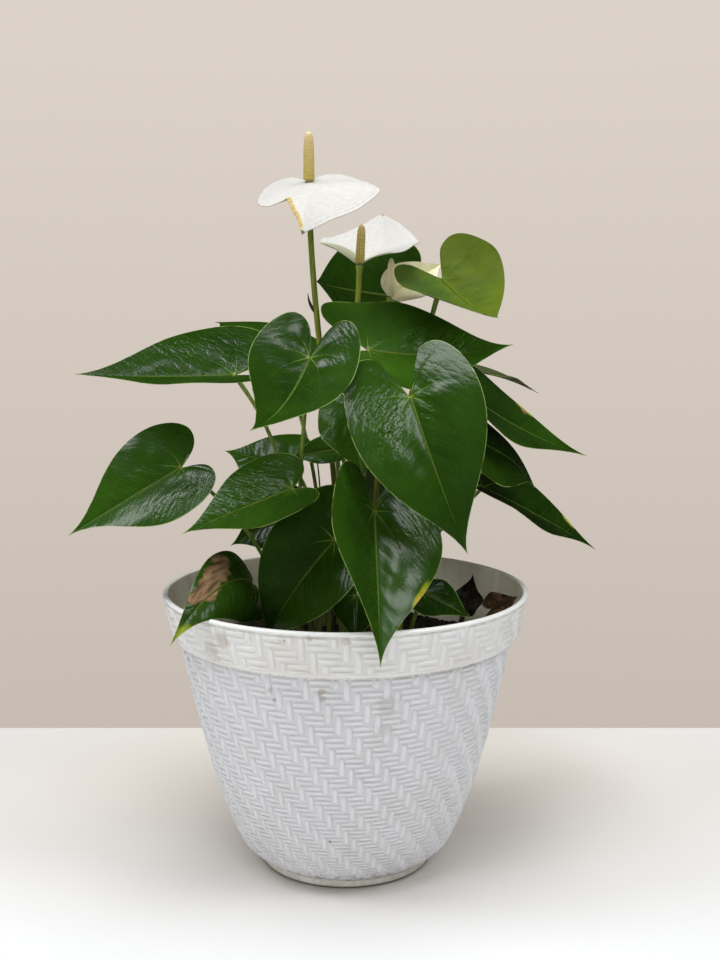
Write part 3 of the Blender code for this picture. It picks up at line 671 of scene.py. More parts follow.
def soilTop(x, y, shape=soilShape):
    # a low heap with small lumps, and finer crumbs on it
    radius = np.hypot(x, y)
    heap = shape["heap"] * (1 - (radius / shape["heapRadius"]) ** 2)
    wide = np.sin(190 * x + 1) * np.sin(170 * y) + np.sin(120 * x - 150 * y + 2)
    fine = 0.0007 * lumps(x, y, 0.006, 3) + 0.0005 * np.abs(lumps(x, y, 0.0028, 4))
    return shape["level"] + heap + shape["bump"] * wide + fine


def soilFinish():
    material, shader, start = newFinish("potting_soil", Roughness=0.92)
    place = objectPlace(start)
    coarse = cloud(place, 110, 5, 0.65)
    fine = cloud(place, 520, 4, 0.6)
    colour = tint(rising(coarse, 0.38, 0.66), (0.004, 0.004, 0.002), (0.020, 0.015, 0.009))
    colour = tint(rising(fine, 0.60, 0.72) * 0.4, colour, (0.07, 0.050, 0.033))
    colour = tint(speck(place, 210, 0.2, 0.05), colour, (0.30, 0.27, 0.22))
    feed(shader, Base_Color=colour, Normal=bumpOf(coarse + fine * 0.6, 0.0012, 0.8))
    return material


def crumbPart(shape):
    # rough lumps lying on the soil: a ball of a few rings and sides, each stretched and turned its own way
    rings, sides = 5, 6
    chance = np.random.default_rng(8)
    count = shape["crumbs"]
    spin = chance.uniform(0, 2 * np.pi, count)
    reach = (shape["edgeRadius"] - 0.004) * np.sqrt(chance.uniform(0, 1, count))
    centre = np.stack([reach * np.cos(spin), reach * np.sin(spin)], -1)
    smallest, growth = shape["crumbSize"]
    size = smallest + growth * chance.uniform(0, 1, count) ** 3
    stretch = chance.uniform(0.6, 1.5, (count, 3)) * size[:, None]
    rise = np.linspace(0, np.pi, rings)[:, None]
    around = np.linspace(0, 2 * np.pi, sides, endpoint=False)[None]
    ball = np.stack([np.sin(rise) * np.cos(around), np.sin(rise) * np.sin(around),
                     np.cos(rise) + 0 * around], -1)
    rough = 1 + 0.25 * chance.uniform(-1, 1, (count, rings, sides, 1))
    rough[:, [0, -1]] = 1
    turn = chance.uniform(0, 2 * np.pi, count)[:, None, None]
    local = ball * rough * stretch[:, None, None, :]
    x = local[..., 0] * np.cos(turn) - local[..., 1] * np.sin(turn)
    y = local[..., 0] * np.sin(turn) + local[..., 1] * np.cos(turn)
    base = soilTop(centre[:, 0], centre[:, 1]) + 0.2 * size
    points = np.stack([x + centre[:, 0, None, None], y + centre[:, 1, None, None],
                       local[..., 2] * 0.7 + base[:, None, None]], -1)
    quads = gridQuads(rings, sides, ring=True)
    quads = (np.arange(count)[:, None, None] * rings * sides + quads).reshape(-1, 4)
    return part(points, quads)


def makeSoil(shape=soilShape):
    angle = np.linspace(0, 2 * np.pi, shape["steps"], endpoint=False)
    reach = shape["edgeRadius"] * np.linspace(1, 0, shape["rings"])[:, None]
    x, y = reach * np.cos(angle), reach * np.sin(angle)
    settle = smoothStep(shape["edgeRadius"] - reach, 0, shape["settle"])
    z = shape["level"] + (soilTop(x, y) - shape["level"]) * settle
    z[-1] = z[-1].mean()
    top = np.stack([x, y, z], -1)
    wallHeights = np.linspace(shape["underside"], shape["level"] - 0.001, 20)
    wallRadii = np.minimum(bodyRadius(wallHeights) - shape["inset"], shape["edgeRadius"])
    wallRadii[0] = floorRadius() - 0.0003
    wall = np.stack([wallRadii[:, None] * np.cos(angle), wallRadii[:, None] * np.sin(angle),
                     wallHeights[:, None] + 0 * angle], -1)
    foot = np.zeros((1, shape["steps"], 3)) + (0, 0, shape["underside"])
    points = np.concatenate([foot, wall, top])
    ground = part(points, gridQuads(len(points), shape["steps"], ring=True, flip=True))
    makePiece("potting_soil", [ground, crumbPart(shape)], [soilFinish()], ["soil"], sharp=180)


makeSoil()
print("soil made")


# blades and stems

plantShape = {
    "soilFoot": 0.1393,
    "stemFoot": 0.165,
    "bladeThickness": 0.0005,
    "rows": (24, 32, 44),  # rows round the lobe's notch, out to the widest place and in to the tip
    "cells": 19,  # cells from the midrib to the margin
    "stemPoints": 44,
    "stemRadius": 0.00135,
    "footSwell": 0.00045,  # how much thicker a stem is at its foot, fading over this length
    "footLength": 0.03,
    "jointSwell": 0.00028,  # and at its joint, this far below the blade and this long
    "jointBelow": 0.011,
    "jointLength": 0.006,
    "ribRadius": 0.00115,
    "ribTipRadius": 0.00018,
    "ribSunk": 0.00035,
    "veinGap": 50,  # degrees between the veins that leave the attachment
    "veinDeep": 0.00030,
    "veinWide": 0.0009,
    "midribDeep": 0.00042,
    "midribWide": 0.0011,
    "veinSpacing": 0.12,  # between the side veins, in lengths of the blade
    "crinkleHigh": 0.00055,
    "crinkleSize": 0.0095,
    "swellHigh": 0.00035,
    "swellSize": 0.021,
}
bladeDefaults = dict(twist=0, sinus=0.35, lobeLine=0.50, wave=0.0012, tipWidth=0.10, sides=(1, 1),
                     tone=0.2, quilt=(0.0002, 0.0002), crinkled=0.2, pucker=(), shade=(), yellow=(),
                     dried=(), bare=0, ribs=1, seed=1, stout=1, path={})
leafColours = {
    "dark": (0.006, 0.022, 0.001),
    "green": (0.040, 0.118, 0.006),
    "bright": (0.20, 0.28, 0.015),
    "net": (0.10, 0.22, 0.03),  # the smallest veins
    "vein": (0.25, 0.34, 0.045),
    "bare": (0.16, 0.17, 0.085),
    "turning": (0.22, 0.29, 0.012),
    "yellow": (0.52, 0.30, 0.020),
    "bark": (0.135, 0.075, 0.030),  # dried patches: their dark and light streaks and their edge
    "barkLight": (0.37, 0.23, 0.120),
    "barkEdge": (0.06, 0.045, 0.015),
    "margin": (0.30, 0.42, 0.11),
    "marginBrown": (0.09, 0.07, 0.02),
    "back": (0.040, 0.090, 0.020),
    "backLight": (0.115, 0.165, 0.008),
    "backNet": (0.16, 0.22, 0.05),
    "backVein": (0.19, 0.27, 0.045),
    "backBare": (0.19, 0.18, 0.105),
    "backDried": (0.20, 0.14, 0.07),
    "stem": (0.085, 0.150, 0.013),
    "stemLight": (0.280, 0.370, 0.058),
    "stemJoint": (0.28, 0.38, 0.07),
    "stemFoot": (0.15, 0.13, 0.06),
}

# Each leaf stands at `stem` on the soil. Its stem, `stout` times the usual thickness, meets the blade at
# `at` along `arrive`, on a curve that path changes. turn, tilt and roll set the blade's way. Flat, it is
# a heart: length from `at` to the tip, halfWidth, lobe for how far the lobes reach back, lobeLine for how
# far out they do and sinus for how wide the notch is. sides widens its left and right half, fold lifts
# them, curl turns their margins down, arch bends the midrib and twist turns the tip.
# tone is how light its green is, quilt how far it swells between its side veins and crinkled how
# puckered it is. pucker, shade, yellow and dried are patches: their place along and across the flat
# blade and their two sizes in mm, and how strong they are where that isn't 1. ribs is how pale the
# midrib is, and bare how far the green has gone grey and brown.
leaves = {
    "leaf_left_low": dict(
        stem=(-0.044, -0.008), at=(-0.113, -0.026, 0.289), turn=-170, tilt=-29, roll=-52,
        length=0.089, halfWidth=0.039, lobe=0.019, fold=(26, 15), curl=(30, 14), arch=4,
        tone=0.23, ribs=0.62, crinkled=0.10, quilt=(0.00007, 0.0002),
        pucker=((20, 21, 26, 8, 0.3), (-3, 22, 8, 6, 0.6)), shade=((60, -10, 30, 14, 0.05),)),
    "leaf_left_front": dict(
        stem=(-0.024, -0.032), at=(-0.035, -0.055, 0.279), turn=-168, tilt=-19, roll=-30,
        length=0.078, halfWidth=0.036, lobe=0.014, fold=(16, 16), curl=(0, 14), arch=4, twist=-12,
        arrive=(-0.3, -0.8, 0.45), tone=0.29, ribs=0.55, crinkled=0.25,
        pucker=((35, -8, 22, 9, 0.6), (21, -22, 14, 8, 0.7)), shade=((5, -12, 14, 12, -0.12),)),
    "leaf_left_high": dict(
        stem=(-0.032, 0.002), at=(-0.077, -0.010, 0.352), turn=175, tilt=-3, roll=-25,
        length=0.112, halfWidth=0.049, lobe=0.027, fold=(22, 24), curl=(0, 12), arch=-7,
        tone=0.13, ribs=0.5, crinkled=0.25,
        pucker=((34, -29, 30, 9, 0.5),), dried=((112, 0, 3, 2),)),
    "leaf_centre_left": dict(
        stem=(-0.034, -0.010), at=(-0.022, -0.076, 0.367), turn=-112, tilt=-44, roll=-3,
        length=0.099, halfWidth=0.037, lobe=0.030, fold=(14, 30), curl=(14, -8), arch=-42,
        twist=-14, sinus=0.25, lobeLine=0.47, arrive=(0.1, -0.6, 0.75),
        path=dict(rise=0.50, reach=0.28), tone=0.12, ribs=0.65, crinkled=0.08,
        pucker=((-10, 22, 16, 8, 0.4),), shade=((5, 22, 22, 10, 0.06), (60, -5, 14, 9, 0.07))),
    "leaf_right_high": dict(
        stem=(0.008, -0.014), at=(0.016, -0.030, 0.370), turn=12, tilt=-10, roll=41, length=0.099,
        halfWidth=0.048, lobe=0.034, fold=(8, 23), curl=(12, 0), arch=-32, twist=17, sinus=0.75,
        lobeLine=0.59, sides=(1, 1.14), tone=0.29, crinkled=0.15,
        pucker=((42, 20, 14, 9), (62, 10, 16, 8), (12, -17, 8, 5, 0.7)),
        # its second shade patch, 62 mm along, is a painted sheen: lighter green where the leaf should
        # shine
        shade=((5, -30, 16, 14, 0.14), (62, 12, 26, 10, 0.16))),
    "leaf_centre": dict(
        stem=(0.026, -0.036), at=(0.042, -0.088, 0.343), turn=-66, tilt=-52, roll=35, length=0.111,
        halfWidth=0.047, lobe=0.030, fold=(19, 32), curl=(4, 0), arch=56, twist=8, sinus=1.0,
        lobeLine=0.45, arrive=(0.1, -0.5, 0.9), tone=0.20, crinkled=0.12,
        pucker=((14, -25, 20, 11, 0.75), (2, -18, 14, 9, 0.75), (14, 9, 9, 5, 0.7)),
        shade=((14, -26, 22, 14, 0.05),)),
    "leaf_front": dict(
        stem=(0.036, -0.056), at=(0.019, -0.098, 0.271), turn=-85, tilt=-58, roll=-33, length=0.101,
        halfWidth=0.048, lobe=0.026, fold=(21, 24), curl=(20, 9), arch=2,
        arrive=(-0.6, -0.35, 0.7), tone=0.22, ribs=0.8, crinkled=0.06, quilt=(0.0001, 0.0002),
        pucker=((5, 30, 26, 12, 0.35),),
        shade=((28, -20, 30, 12, -0.11), (5, 30, 30, 12, 0.08), (75, 8, 20, 9, 0.08)),
        yellow=((46, 32, 8, 4, 0.8), (56, 27, 8, 4))),
    "leaf_front_left": dict(
        stem=(-0.018, -0.044), at=(-0.0068, -0.060, 0.2450), turn=-155, tilt=-43, roll=-52,
        length=0.097, halfWidth=0.0376, lobe=0.028, fold=(28, 23), curl=(2, 18), arch=70,
        lobeLine=0.58, tone=0.15, ribs=0.75, pucker=((35, -10, 30, 12, 0.3),)),
    "leaf_rim_left": dict(
        stem=(-0.040, -0.024), at=(-0.065, -0.035, 0.2112), turn=-106, tilt=25, roll=-22,
        length=0.100, halfWidth=0.024, lobe=0.014, fold=(-10, 37), curl=(58, 13), arch=88,
        sides=(1.42, 1), tone=0.21,
        dried=((26, -17, 9, 7), (40, -9, 13, 8), (55, -3, 10, 6), (66, -6, 6, 4), (99, 0, 4, 3)),
        yellow=((88, 1, 8, 2.5, 0.6),)),
    "leaf_right_mid": dict(
        stem=(0.036, 0.004), at=(0.082, -0.012, 0.341), turn=29, tilt=-35, roll=30, length=0.114,
        halfWidth=0.049, lobe=0.029, fold=(16, 11), curl=(16, 11), arch=-20,
        arrive=(0.7, -0.1, 0.7), tone=0.10, ribs=0.7, shade=((85, 0, 22, 30, 0.09),),
        yellow=((62, 26, 8, 5),), dried=((63, 24, 2, 4), (113, 0, 3, 2))),
    "leaf_right_low": dict(
        stem=(0.040, 0.014), at=(0.100, 0.030, 0.267), turn=27, tilt=-25, roll=24,
        length=0.120, halfWidth=0.051, lobe=0.029, fold=(16, 18), curl=(12, 12), arch=6, twist=12,
        tone=0.02, ribs=0.6, yellow=((91, 12, 7, 4),), dried=((92, 13, 2.4, 1.8),)),
    "leaf_right_inner": dict(
        stem=(0.034, -0.016), at=(0.085, -0.034, 0.310), turn=30, tilt=-18, roll=42, length=0.082,
        halfWidth=0.034, lobe=0.021, fold=(6, 8), curl=(26, 18), arch=34, twist=10, tone=0.13),
    "leaf_top_right": dict(
        stem=(0.024, -0.006), at=(0.068, 0.012, 0.4175), turn=-54, tilt=-34, roll=-140,
        length=0.091, halfWidth=0.041, lobe=0.023, fold=(-26, -15), curl=(23, 24), arch=44,
        twist=-25, sinus=0.7, arrive=(0.25, -0.1, 0.95), stout=1.3, tone=0.85,
        shade=((20, 22, 60, 25, -0.55),)),
    "leaf_top_back": dict(
        stem=(0.004, 0.026), at=(0.035, 0.085, 0.406), turn=146, tilt=6, roll=-94, length=0.104,
        halfWidth=0.047, lobe=0.023, fold=(-2, 7), curl=(18, 23), arch=38, twist=-18,
        lobeLine=0.59, arrive=(0.1, 0.45, 0.9), tone=0.20, ribs=0.35),
    "leaf_left_small": dict(
        stem=(-0.022, 0.010), at=(-0.040, 0.024, 0.284), turn=141, tilt=5, roll=-50,
        length=0.068, halfWidth=0.028, lobe=0.010, fold=(11, 11), curl=(15, 28), arch=0, tone=0.30),
    "leaf_back_left": dict(
        stem=(-0.016, 0.034), at=(-0.050, 0.075, 0.364), turn=131, tilt=24, roll=-11, length=0.094,
        halfWidth=0.039, lobe=0.023, fold=(12, 8), curl=(15, 18), arch=22,
        path=dict(rise=0.55, reach=0.25), tone=0.15),
    "leaf_back_right": dict(
        stem=(0.030, 0.028), at=(0.064, 0.086, 0.350), turn=32, tilt=3, roll=5, length=0.113,
        halfWidth=0.048, lobe=0.028, fold=(8, 13), curl=(18, 13), arch=29, twist=14, tone=0.15, bare=1),
    "leaf_middle": dict(
        stem=(0.000, -0.022), at=(0.006, -0.038, 0.328), turn=-80, tilt=-50, roll=5, length=0.054,
        halfWidth=0.025, lobe=0.020, fold=(12, 6), curl=(15, 20), arch=0, arrive=(0.1, -0.35, 0.9),
        tone=0.42),
    "leaf_pot_left": dict(
        stem=(-0.038, 0.018), at=(-0.040, 0.034, 0.246), turn=178, tilt=-22, roll=-55, length=0.054,
        halfWidth=0.026, lobe=0.014, fold=(12, 14), curl=(12, 12), arch=20, tone=0.08),
    "leaf_pot_front": dict(
        stem=(0.010, -0.030), at=(0.008, -0.040, 0.202), turn=-92, tilt=-34, roll=0, length=0.040,
        halfWidth=0.017, lobe=0.010, fold=(10, 10), curl=(10, 10), arch=30, tone=0.08),
    "leaf_pot_right": dict(
        stem=(0.044, -0.040), at=(0.054, -0.050, 0.206), turn=-43, tilt=-10, roll=38, length=0.041,
        halfWidth=0.015, lobe=0.008, fold=(8, 8), curl=(10, 10), arch=15, tone=0.03),
    "leaf_young": dict(
        stem=(-0.012, -0.020), at=(-0.006, -0.014, 0.300), turn=178, tilt=-4, roll=-60,
        length=0.036, halfWidth=0.012, lobe=0.006, fold=(24, 24), curl=(10, 10), arch=30, tone=0.35),
    "leaf_back_middle": dict(
        stem=(0.014, 0.040), at=(0.034, 0.080, 0.262), turn=76, tilt=-34, roll=0, length=0.104,
        halfWidth=0.040, lobe=0.026, fold=(14, 14), curl=(14, 14), arch=34, tone=0.18),
    "leaf_back_low": dict(
        stem=(-0.006, 0.040), at=(-0.012, 0.050, 0.345), turn=94, tilt=-6, roll=0, length=0.088,
        halfWidth=0.027, lobe=0.020, fold=(14, 14), curl=(12, 12), arch=40, tone=0.24),
}


def cubicArc(start, pullStart, pullEnd, end, steps):
    # ends and pulls weighted by (1-t)^3, 3 (1-t)^2 t, 3 (1-t) t^2 and t^3, the first end left out
    t = np.arange(1, steps + 1)[:, None] / steps
    near = (1 - t) ** 3 * np.array(start) + 3 * (1 - t) ** 2 * t * np.array(pullStart)
    return near + 3 * (1 - t) * t ** 2 * np.array(pullEnd) + t ** 3 * np.array(end)


def halfOutline(blade, steps):
    # half of a flat heart: round the lobe, out to the widest place, in to the tip. The numbers are
    # shares of its length, its half width and its lobe
    length, width, lobe = blade["length"], blade["halfWidth"], blade["lobe"]
    widest = (0.16 * length, width)
    lobeEnd = (-lobe, blade["lobeLine"] * width)
    inner = cubicArc((0, 0), (-0.55 * lobe, 0.35 * blade["sinus"] * width),
                     (lobeEnd[0], lobeEnd[1] - 0.28 * width), lobeEnd, steps[0])
    outer = cubicArc(lobeEnd, (lobeEnd[0], lobeEnd[1] + 0.30 * width),
                     (widest[0] - 0.45 * (widest[0] + lobe), width), widest, steps[1])
    point = cubicArc(widest, (widest[0] + 0.38 * (length - widest[0]), width),
                     (0.70 * length, blade["tipWidth"] * width), (length, 0), steps[2])
    return np.vstack([inner, outer, point])


def drawnEdge(points, count):
    # a smooth curve through points given in mm, each piece 0.5 (2b + (c-a) t + (2a-5b+4c-d) t^2 +
    # (3b-a-3c+d) t^3), then evenly spaced
    held = np.array([points[0], (0, 0), *points, points[-1]]) / 1000
    a, b, c, d = (held[i:len(held) - 3 + i, None] for i in range(4))
    t = np.linspace(0, 1, 16, endpoint=False)[None, :, None]
    square, cube = 2 * a - 5 * b + 4 * c - d, 3 * b - a - 3 * c + d
    curve = b + 0.5 * ((c - a) * t + square * t ** 2 + cube * t ** 3)
    curve = np.vstack([curve.reshape(-1, 2), held[-1:]])
    reach = lengthAlong(curve)
    wanted = np.linspace(0, reach[-1], count + 1)[1:]
    return np.stack([np.interp(wanted, reach, curve[:, axis]) for axis in range(2)], -1)


def turnAbout(axis, angle):
    # the matrix of a turn about one axis
    i, j = (other for other in range(3) if other != axis)
    matrix = np.eye(3)
    matrix[i, i] = matrix[j, j] = math.cos(angle)
    matrix[i, j], matrix[j, i] = -math.sin(angle), math.sin(angle)
    return matrix


def bladeAxes(blade):
    # columns: along the midrib, to its left, and out of the blade's face
    turn, tilt, roll = np.radians([blade["turn"], blade["tilt"], blade["roll"]])
    return turnAbout(2, turn) @ turnAbout(1, tilt) @ turnAbout(0, roll)


def bend(x, y, left, blade):
    # flat points folded about the midrib, curled down at the margin, waved, twisted and arched:
    # across = (sin fold - sin(fold - bow |y|)) / bow, up = (cos(fold - bow |y|) - cos fold) / bow
    length, width = blade["length"], blade["halfWidth"]
    y = y * np.where(left, *blade["sides"])
    reach = np.abs(y)
    fold = np.radians(np.where(left, *blade["fold"]))
    bow = np.radians(np.where(left, *blade["curl"])) / width + 1e-6
    across = (np.sin(fold) - np.sin(fold - bow * reach)) / bow * np.where(left, 1, -1)
    up = (np.cos(fold - bow * reach) - np.cos(fold)) / bow
    phase = np.where(left, 0, 2)
    up = up + blade["wave"] * (reach / width) ** 2 * np.sin(3 * math.pi * x / length + phase)
    twist = math.radians(blade["twist"]) * np.clip(x / length, 0, 1)
    across, up = (across * np.cos(twist) - up * np.sin(twist), across * np.sin(twist) + up * np.cos(twist))
    arch = math.radians(blade["arch"] + 0.01) / length
    arch = np.where(x >= 0, arch, 0.6 * arch)
    along = np.sin(arch * x) / arch + up * np.sin(arch * x)
    height = (np.cos(arch * x) - 1) / arch + up * np.cos(arch * x)
    return np.stack([along, across, height], -1) @ bladeAxes(blade).T + np.array(blade["at"])


def bentHalf(flat, left, blade):
    # a half's points and its face's normals, from steps along and across the flat blade
    x, y = flat[..., 0], flat[..., 1]
    side = 1 if left else -1
    small = 1e-5
    here = bend(x, y, left, blade)
    alongStep = bend(x + small, y, left, blade) - here
    acrossStep = bend(x, y + side * small, left, blade) - here
    return here, unit(side * np.cross(alongStep, acrossStep))


def veinRelief(x, y, share, blade):
    # grooves along the midrib and the veins from the attachment, swellings between the side veins, and
    # crinkles, all fading at the margin
    shape = plantShape
    gap = math.radians(shape["veinGap"])
    spacing = shape["veinSpacing"] * blade["length"]
    reach = np.hypot(x, y) + 1e-9
    fan = (np.arctan2(np.abs(y), x) + 0.45 * reach / blade["halfWidth"]) / gap
    near = np.abs(fan - np.round(fan)) * gap * reach
    fade = np.clip(1.2 - 0.8 * reach / blade["halfWidth"], 0, 1)
    groove = -shape["veinDeep"] * np.exp(-(near / shape["veinWide"]) ** 2) * fade * (fan > 0.5)
    midrib = shape["midribDeep"] * np.exp(-(y / shape["midribWide"]) ** 2)
    groove = groove - midrib * np.clip(1.1 - x / blade["length"], 0, 1)
    side = (x - 0.75 * np.abs(y) - 4 * y ** 2) / spacing
    front = 1 - smoothStep(fan, 0.7, 1.1)
    quilt = np.where(y >= 0, *blade["quilt"])
    body = smoothStep(np.abs(y), 0.0005, 0.008) * (1 - share ** 3)
    swell = -quilt * np.cos(2 * np.pi * side) * front
    swell = swell - 0.7 * quilt * np.cos(2 * np.pi * fan) * (1 - front) * smoothStep(reach, 0, 0.015)
    rough = lumps(side * spacing, y * 0.6, shape["crinkleSize"], blade["seed"])
    crinkle = shape["crinkleHigh"] * puckerOf(x, y, blade) * (rough - 0.4 * rough ** 2)
    broad = shape["swellHigh"] * lumps(x, y, shape["swellSize"], blade["seed"] + 50)
    return groove * (1 - share ** 6) + (swell + crinkle + broad) * body


def patches(x, y, spots):
    # soft round patches, strength * exp(-(dx/sx)^2 - (dy/sy)^2), added
    total = np.zeros(np.shape(x))
    for along, across, wide, deep, *strength in spots:
        near = np.exp(-((1000 * x - along) / wide) ** 2 - ((1000 * y - across) / deep) ** 2)
        total = total + near * (strength[0] if strength else 1)
    return total


def puckerOf(x, y, blade):
    return np.clip(blade["crinkled"] + patches(x, y, blade["pucker"]), 0, 1)


def bladePart(blade, thickness, relief=1.0):
    # a closed blade: the grid from the right margin over the midrib to the left one, once for the
    # face and once for the underside, joined round the margin. rim is about the distance from the
    # margin in mm, a little less than the way there along a row, which meets it at a slant
    steps, cells = plantShape["rows"], plantShape["cells"]
    count = sum(steps)
    if "drawn" in blade:
        leftEdge, rightEdge = (drawnEdge(points, count) for points in blade["drawn"])
        turnIn = round(0.62 * count)
    else:
        leftEdge = rightEdge = halfOutline(blade, steps)
        turnIn = steps[0] + steps[1] // 2
    slide = np.clip((np.arange(1, count + 1) - turnIn) / (count - turnIn), 0, 1)
    inner = np.stack([leftEdge[-1, 0] * slide, 0 * slide], -1)
    share = np.linspace(0, 1, cells + 1)[None, :, None] ** 1.3
    leftFlat = inner[:, None] + (leftEdge - inner)[:, None] * share
    rightFlat = (inner[:, None] + (rightEdge - inner)[:, None] * share) * np.array([1, -1])
    leftPlace, leftOut = bentHalf(leftFlat, True, blade)
    rightPlace, rightOut = bentHalf(rightFlat, False, blade)
    leftOut[:, :1] = unit(leftOut[:, :1] + rightOut[:, :1])
    halves = (rightFlat, leftFlat), (rightPlace, leftPlace), (rightOut, leftOut)
    flat, place, out = (np.concatenate([right[:, :0:-1], left], 1) for right, left in halves)
    shares = np.concatenate([share[:, :0:-1, 0], share[..., 0]], 1) + 0 * flat[..., 0]
    x, y = flat[..., 0], flat[..., 1]
    lift = relief * veinRelief(x, y, shares, blade)
    half = thickness / 2 * (1 - 0.55 * shares ** 5)
    top = place + out * (lift + half)[..., None]
    under = place + out * (lift - half)[..., None]
    rows, columns = x.shape
    total = rows * columns
    quads = gridQuads(rows, columns)
    first = np.arange(columns - 1)
    startSeam = np.stack([first, first + 1, first + 1 + total, first + total], -1)
    down = np.arange(rows - 1) * columns
    rightSeam = np.stack([down, down + total, down + columns + total, down + columns], -1)
    leftSeam = np.stack([down, down + columns, down + columns + total, down + total], -1) + columns - 1
    faces = np.concatenate([quads, startSeam, rightSeam, leftSeam, quads[:, ::-1] + total])
    finish = np.where(np.arange(len(faces)) < len(faces) - len(quads), 0, 1)
    leftWide, rightWide = (np.linalg.norm(edge - inner, axis=1)[:, None]
                           for edge in (leftEdge, rightEdge))
    rim = 850 * (1 - shares) * np.where(np.arange(columns) < cells, rightWide, leftWide)
    fields = dict(along=1000 * x, across=1000 * y, rim=rim, size=1000 * blade["length"],
                  tone=blade["tone"] + patches(x, y, blade["shade"]), pucker=puckerOf(x, y, blade),
                  yellow=patches(x, y, blade["yellow"]), dried=patches(x, y, blade["dried"]),
                  bare=blade["bare"], ribs=blade["ribs"])
    fields = {name: np.tile(np.broadcast_to(value, x.shape).reshape(-1), 2)
              for name, value in fields.items()}
    return part(np.concatenate([top.reshape(-1, 3), under.reshape(-1, 3)]), faces, finish, **fields)


def stemPath(stem, end, arrive, rise=0.40, reach=0.32):
    # upright from the soil, then a cubic arc over to the end, which it meets along `arrive`
    start = np.array([*stem, plantShape["stemFoot"]])
    end = np.array(end)
    span = np.linalg.norm(end - start)
    lift = start + np.array([0, 0, rise * span])
    before = end - reach * span * unit(np.array(arrive, dtype=float))
    arc = cubicArc(start, lift, before, end, plantShape["stemPoints"] - 2)
    return np.vstack([[*stem, plantShape["soilFoot"]], start, arc])


def leafStemParts(leaf, finish, ribFinish):
    # the leaf's stem, a little thicker at its foot and at the joint below its blade, and the rib that
    # runs on under the blade to near its tip
    shape = plantShape
    axes = bladeAxes(leaf)
    at = np.array(leaf["at"])
    outward = unit(np.array([*(at[:2] - np.array(leaf["stem"])), 0]))
    fromBelow = unit(0.5 * axes[:, 0] + 0.85 * axes[:, 2])
    arrive = leaf.get("arrive", fromBelow + unit(0.6 * outward + np.array([0, 0, 0.8])))
    end = at - 0.0004 * axes[:, 2]
    path = stemPath(leaf["stem"], end, arrive, **leaf["path"])
    left = lengthAlong(path)
    joint = np.exp(-((left[-1] - left - shape["jointBelow"]) / shape["jointLength"]) ** 2)
    foot = shape["footSwell"] * np.exp(-left / shape["footLength"])
    radii = (shape["stemRadius"] + foot + shape["jointSwell"] * joint) * leaf["stout"]
    ribX = np.linspace(0.01, 0.93, 36) * leaf["length"]
    onMidrib, out = bentHalf(np.stack([ribX, 0 * ribX], -1), True, leaf)
    ribRadii = shape["ribRadius"] * (1 - ribX / leaf["length"]) ** 0.8 + shape["ribTipRadius"]
    return [tube(path, radii, 12, finish, along=left * 1000, tone=joint),
            tube(onMidrib - shape["ribSunk"] * out, ribRadii, 8, ribFinish, along=ribX * 1000,
                 across=8, size=1000 * leaf["length"], tone=leaf["tone"] + 0.3)]


def toWhole(value):
    # distance to the nearest whole number
    shifted = value + 0.5
    return abs(shifted.maths("FRACT", shifted) - 0.5)


def veinMask(along, across, size, ribs=1, sideStrength=0.06):
    # bright on the midrib and on the veins that leave the attachment, fading outwards, and faint on
    # the side veins
    gap = math.radians(plantShape["veinGap"])
    away = abs(across)
    reach = ((along * along) + (across * across)) ** 0.5
    angle = away.maths("ARCTAN2", away, along)
    halfWidth = size * 0.43
    fan = (angle + reach / halfWidth * 0.45) / gap
    near = toWhole(fan) * reach * gap
    far = along / size
    thin = away / (0.42 - far * 0.32)
    rib = falling(thin, 0.5, 1.5) * rising(along, -1.0, 0.5)
    rib = rib * (0.88 - rising(far, 0.06, 0.72) * 0.72) * ribs
    fade = falling(reach / halfWidth, 0.04, 0.46)
    basal = falling(near / (0.12 + fade * 0.20), 0.4, 1.6) * rising(fan, 0.5, 0.6) * (0.05 + fade * 0.52)
    spacing = size * plantShape["veinSpacing"]
    side = along - away * 0.75 - away * away * 0.004
    sideNear = toWhole(side / spacing) * spacing * 0.8
    lateral = falling(sideNear, 0.08, 0.34) * falling(fan, 0.85, 1.05) * sideStrength
    knot = falling(reach, 0.5, 3.4) * 0.75
    veins = rib
    for other in (basal, lateral, knot):
        veins = veins.maths("MAXIMUM", veins, other)
    return veins, side, reach


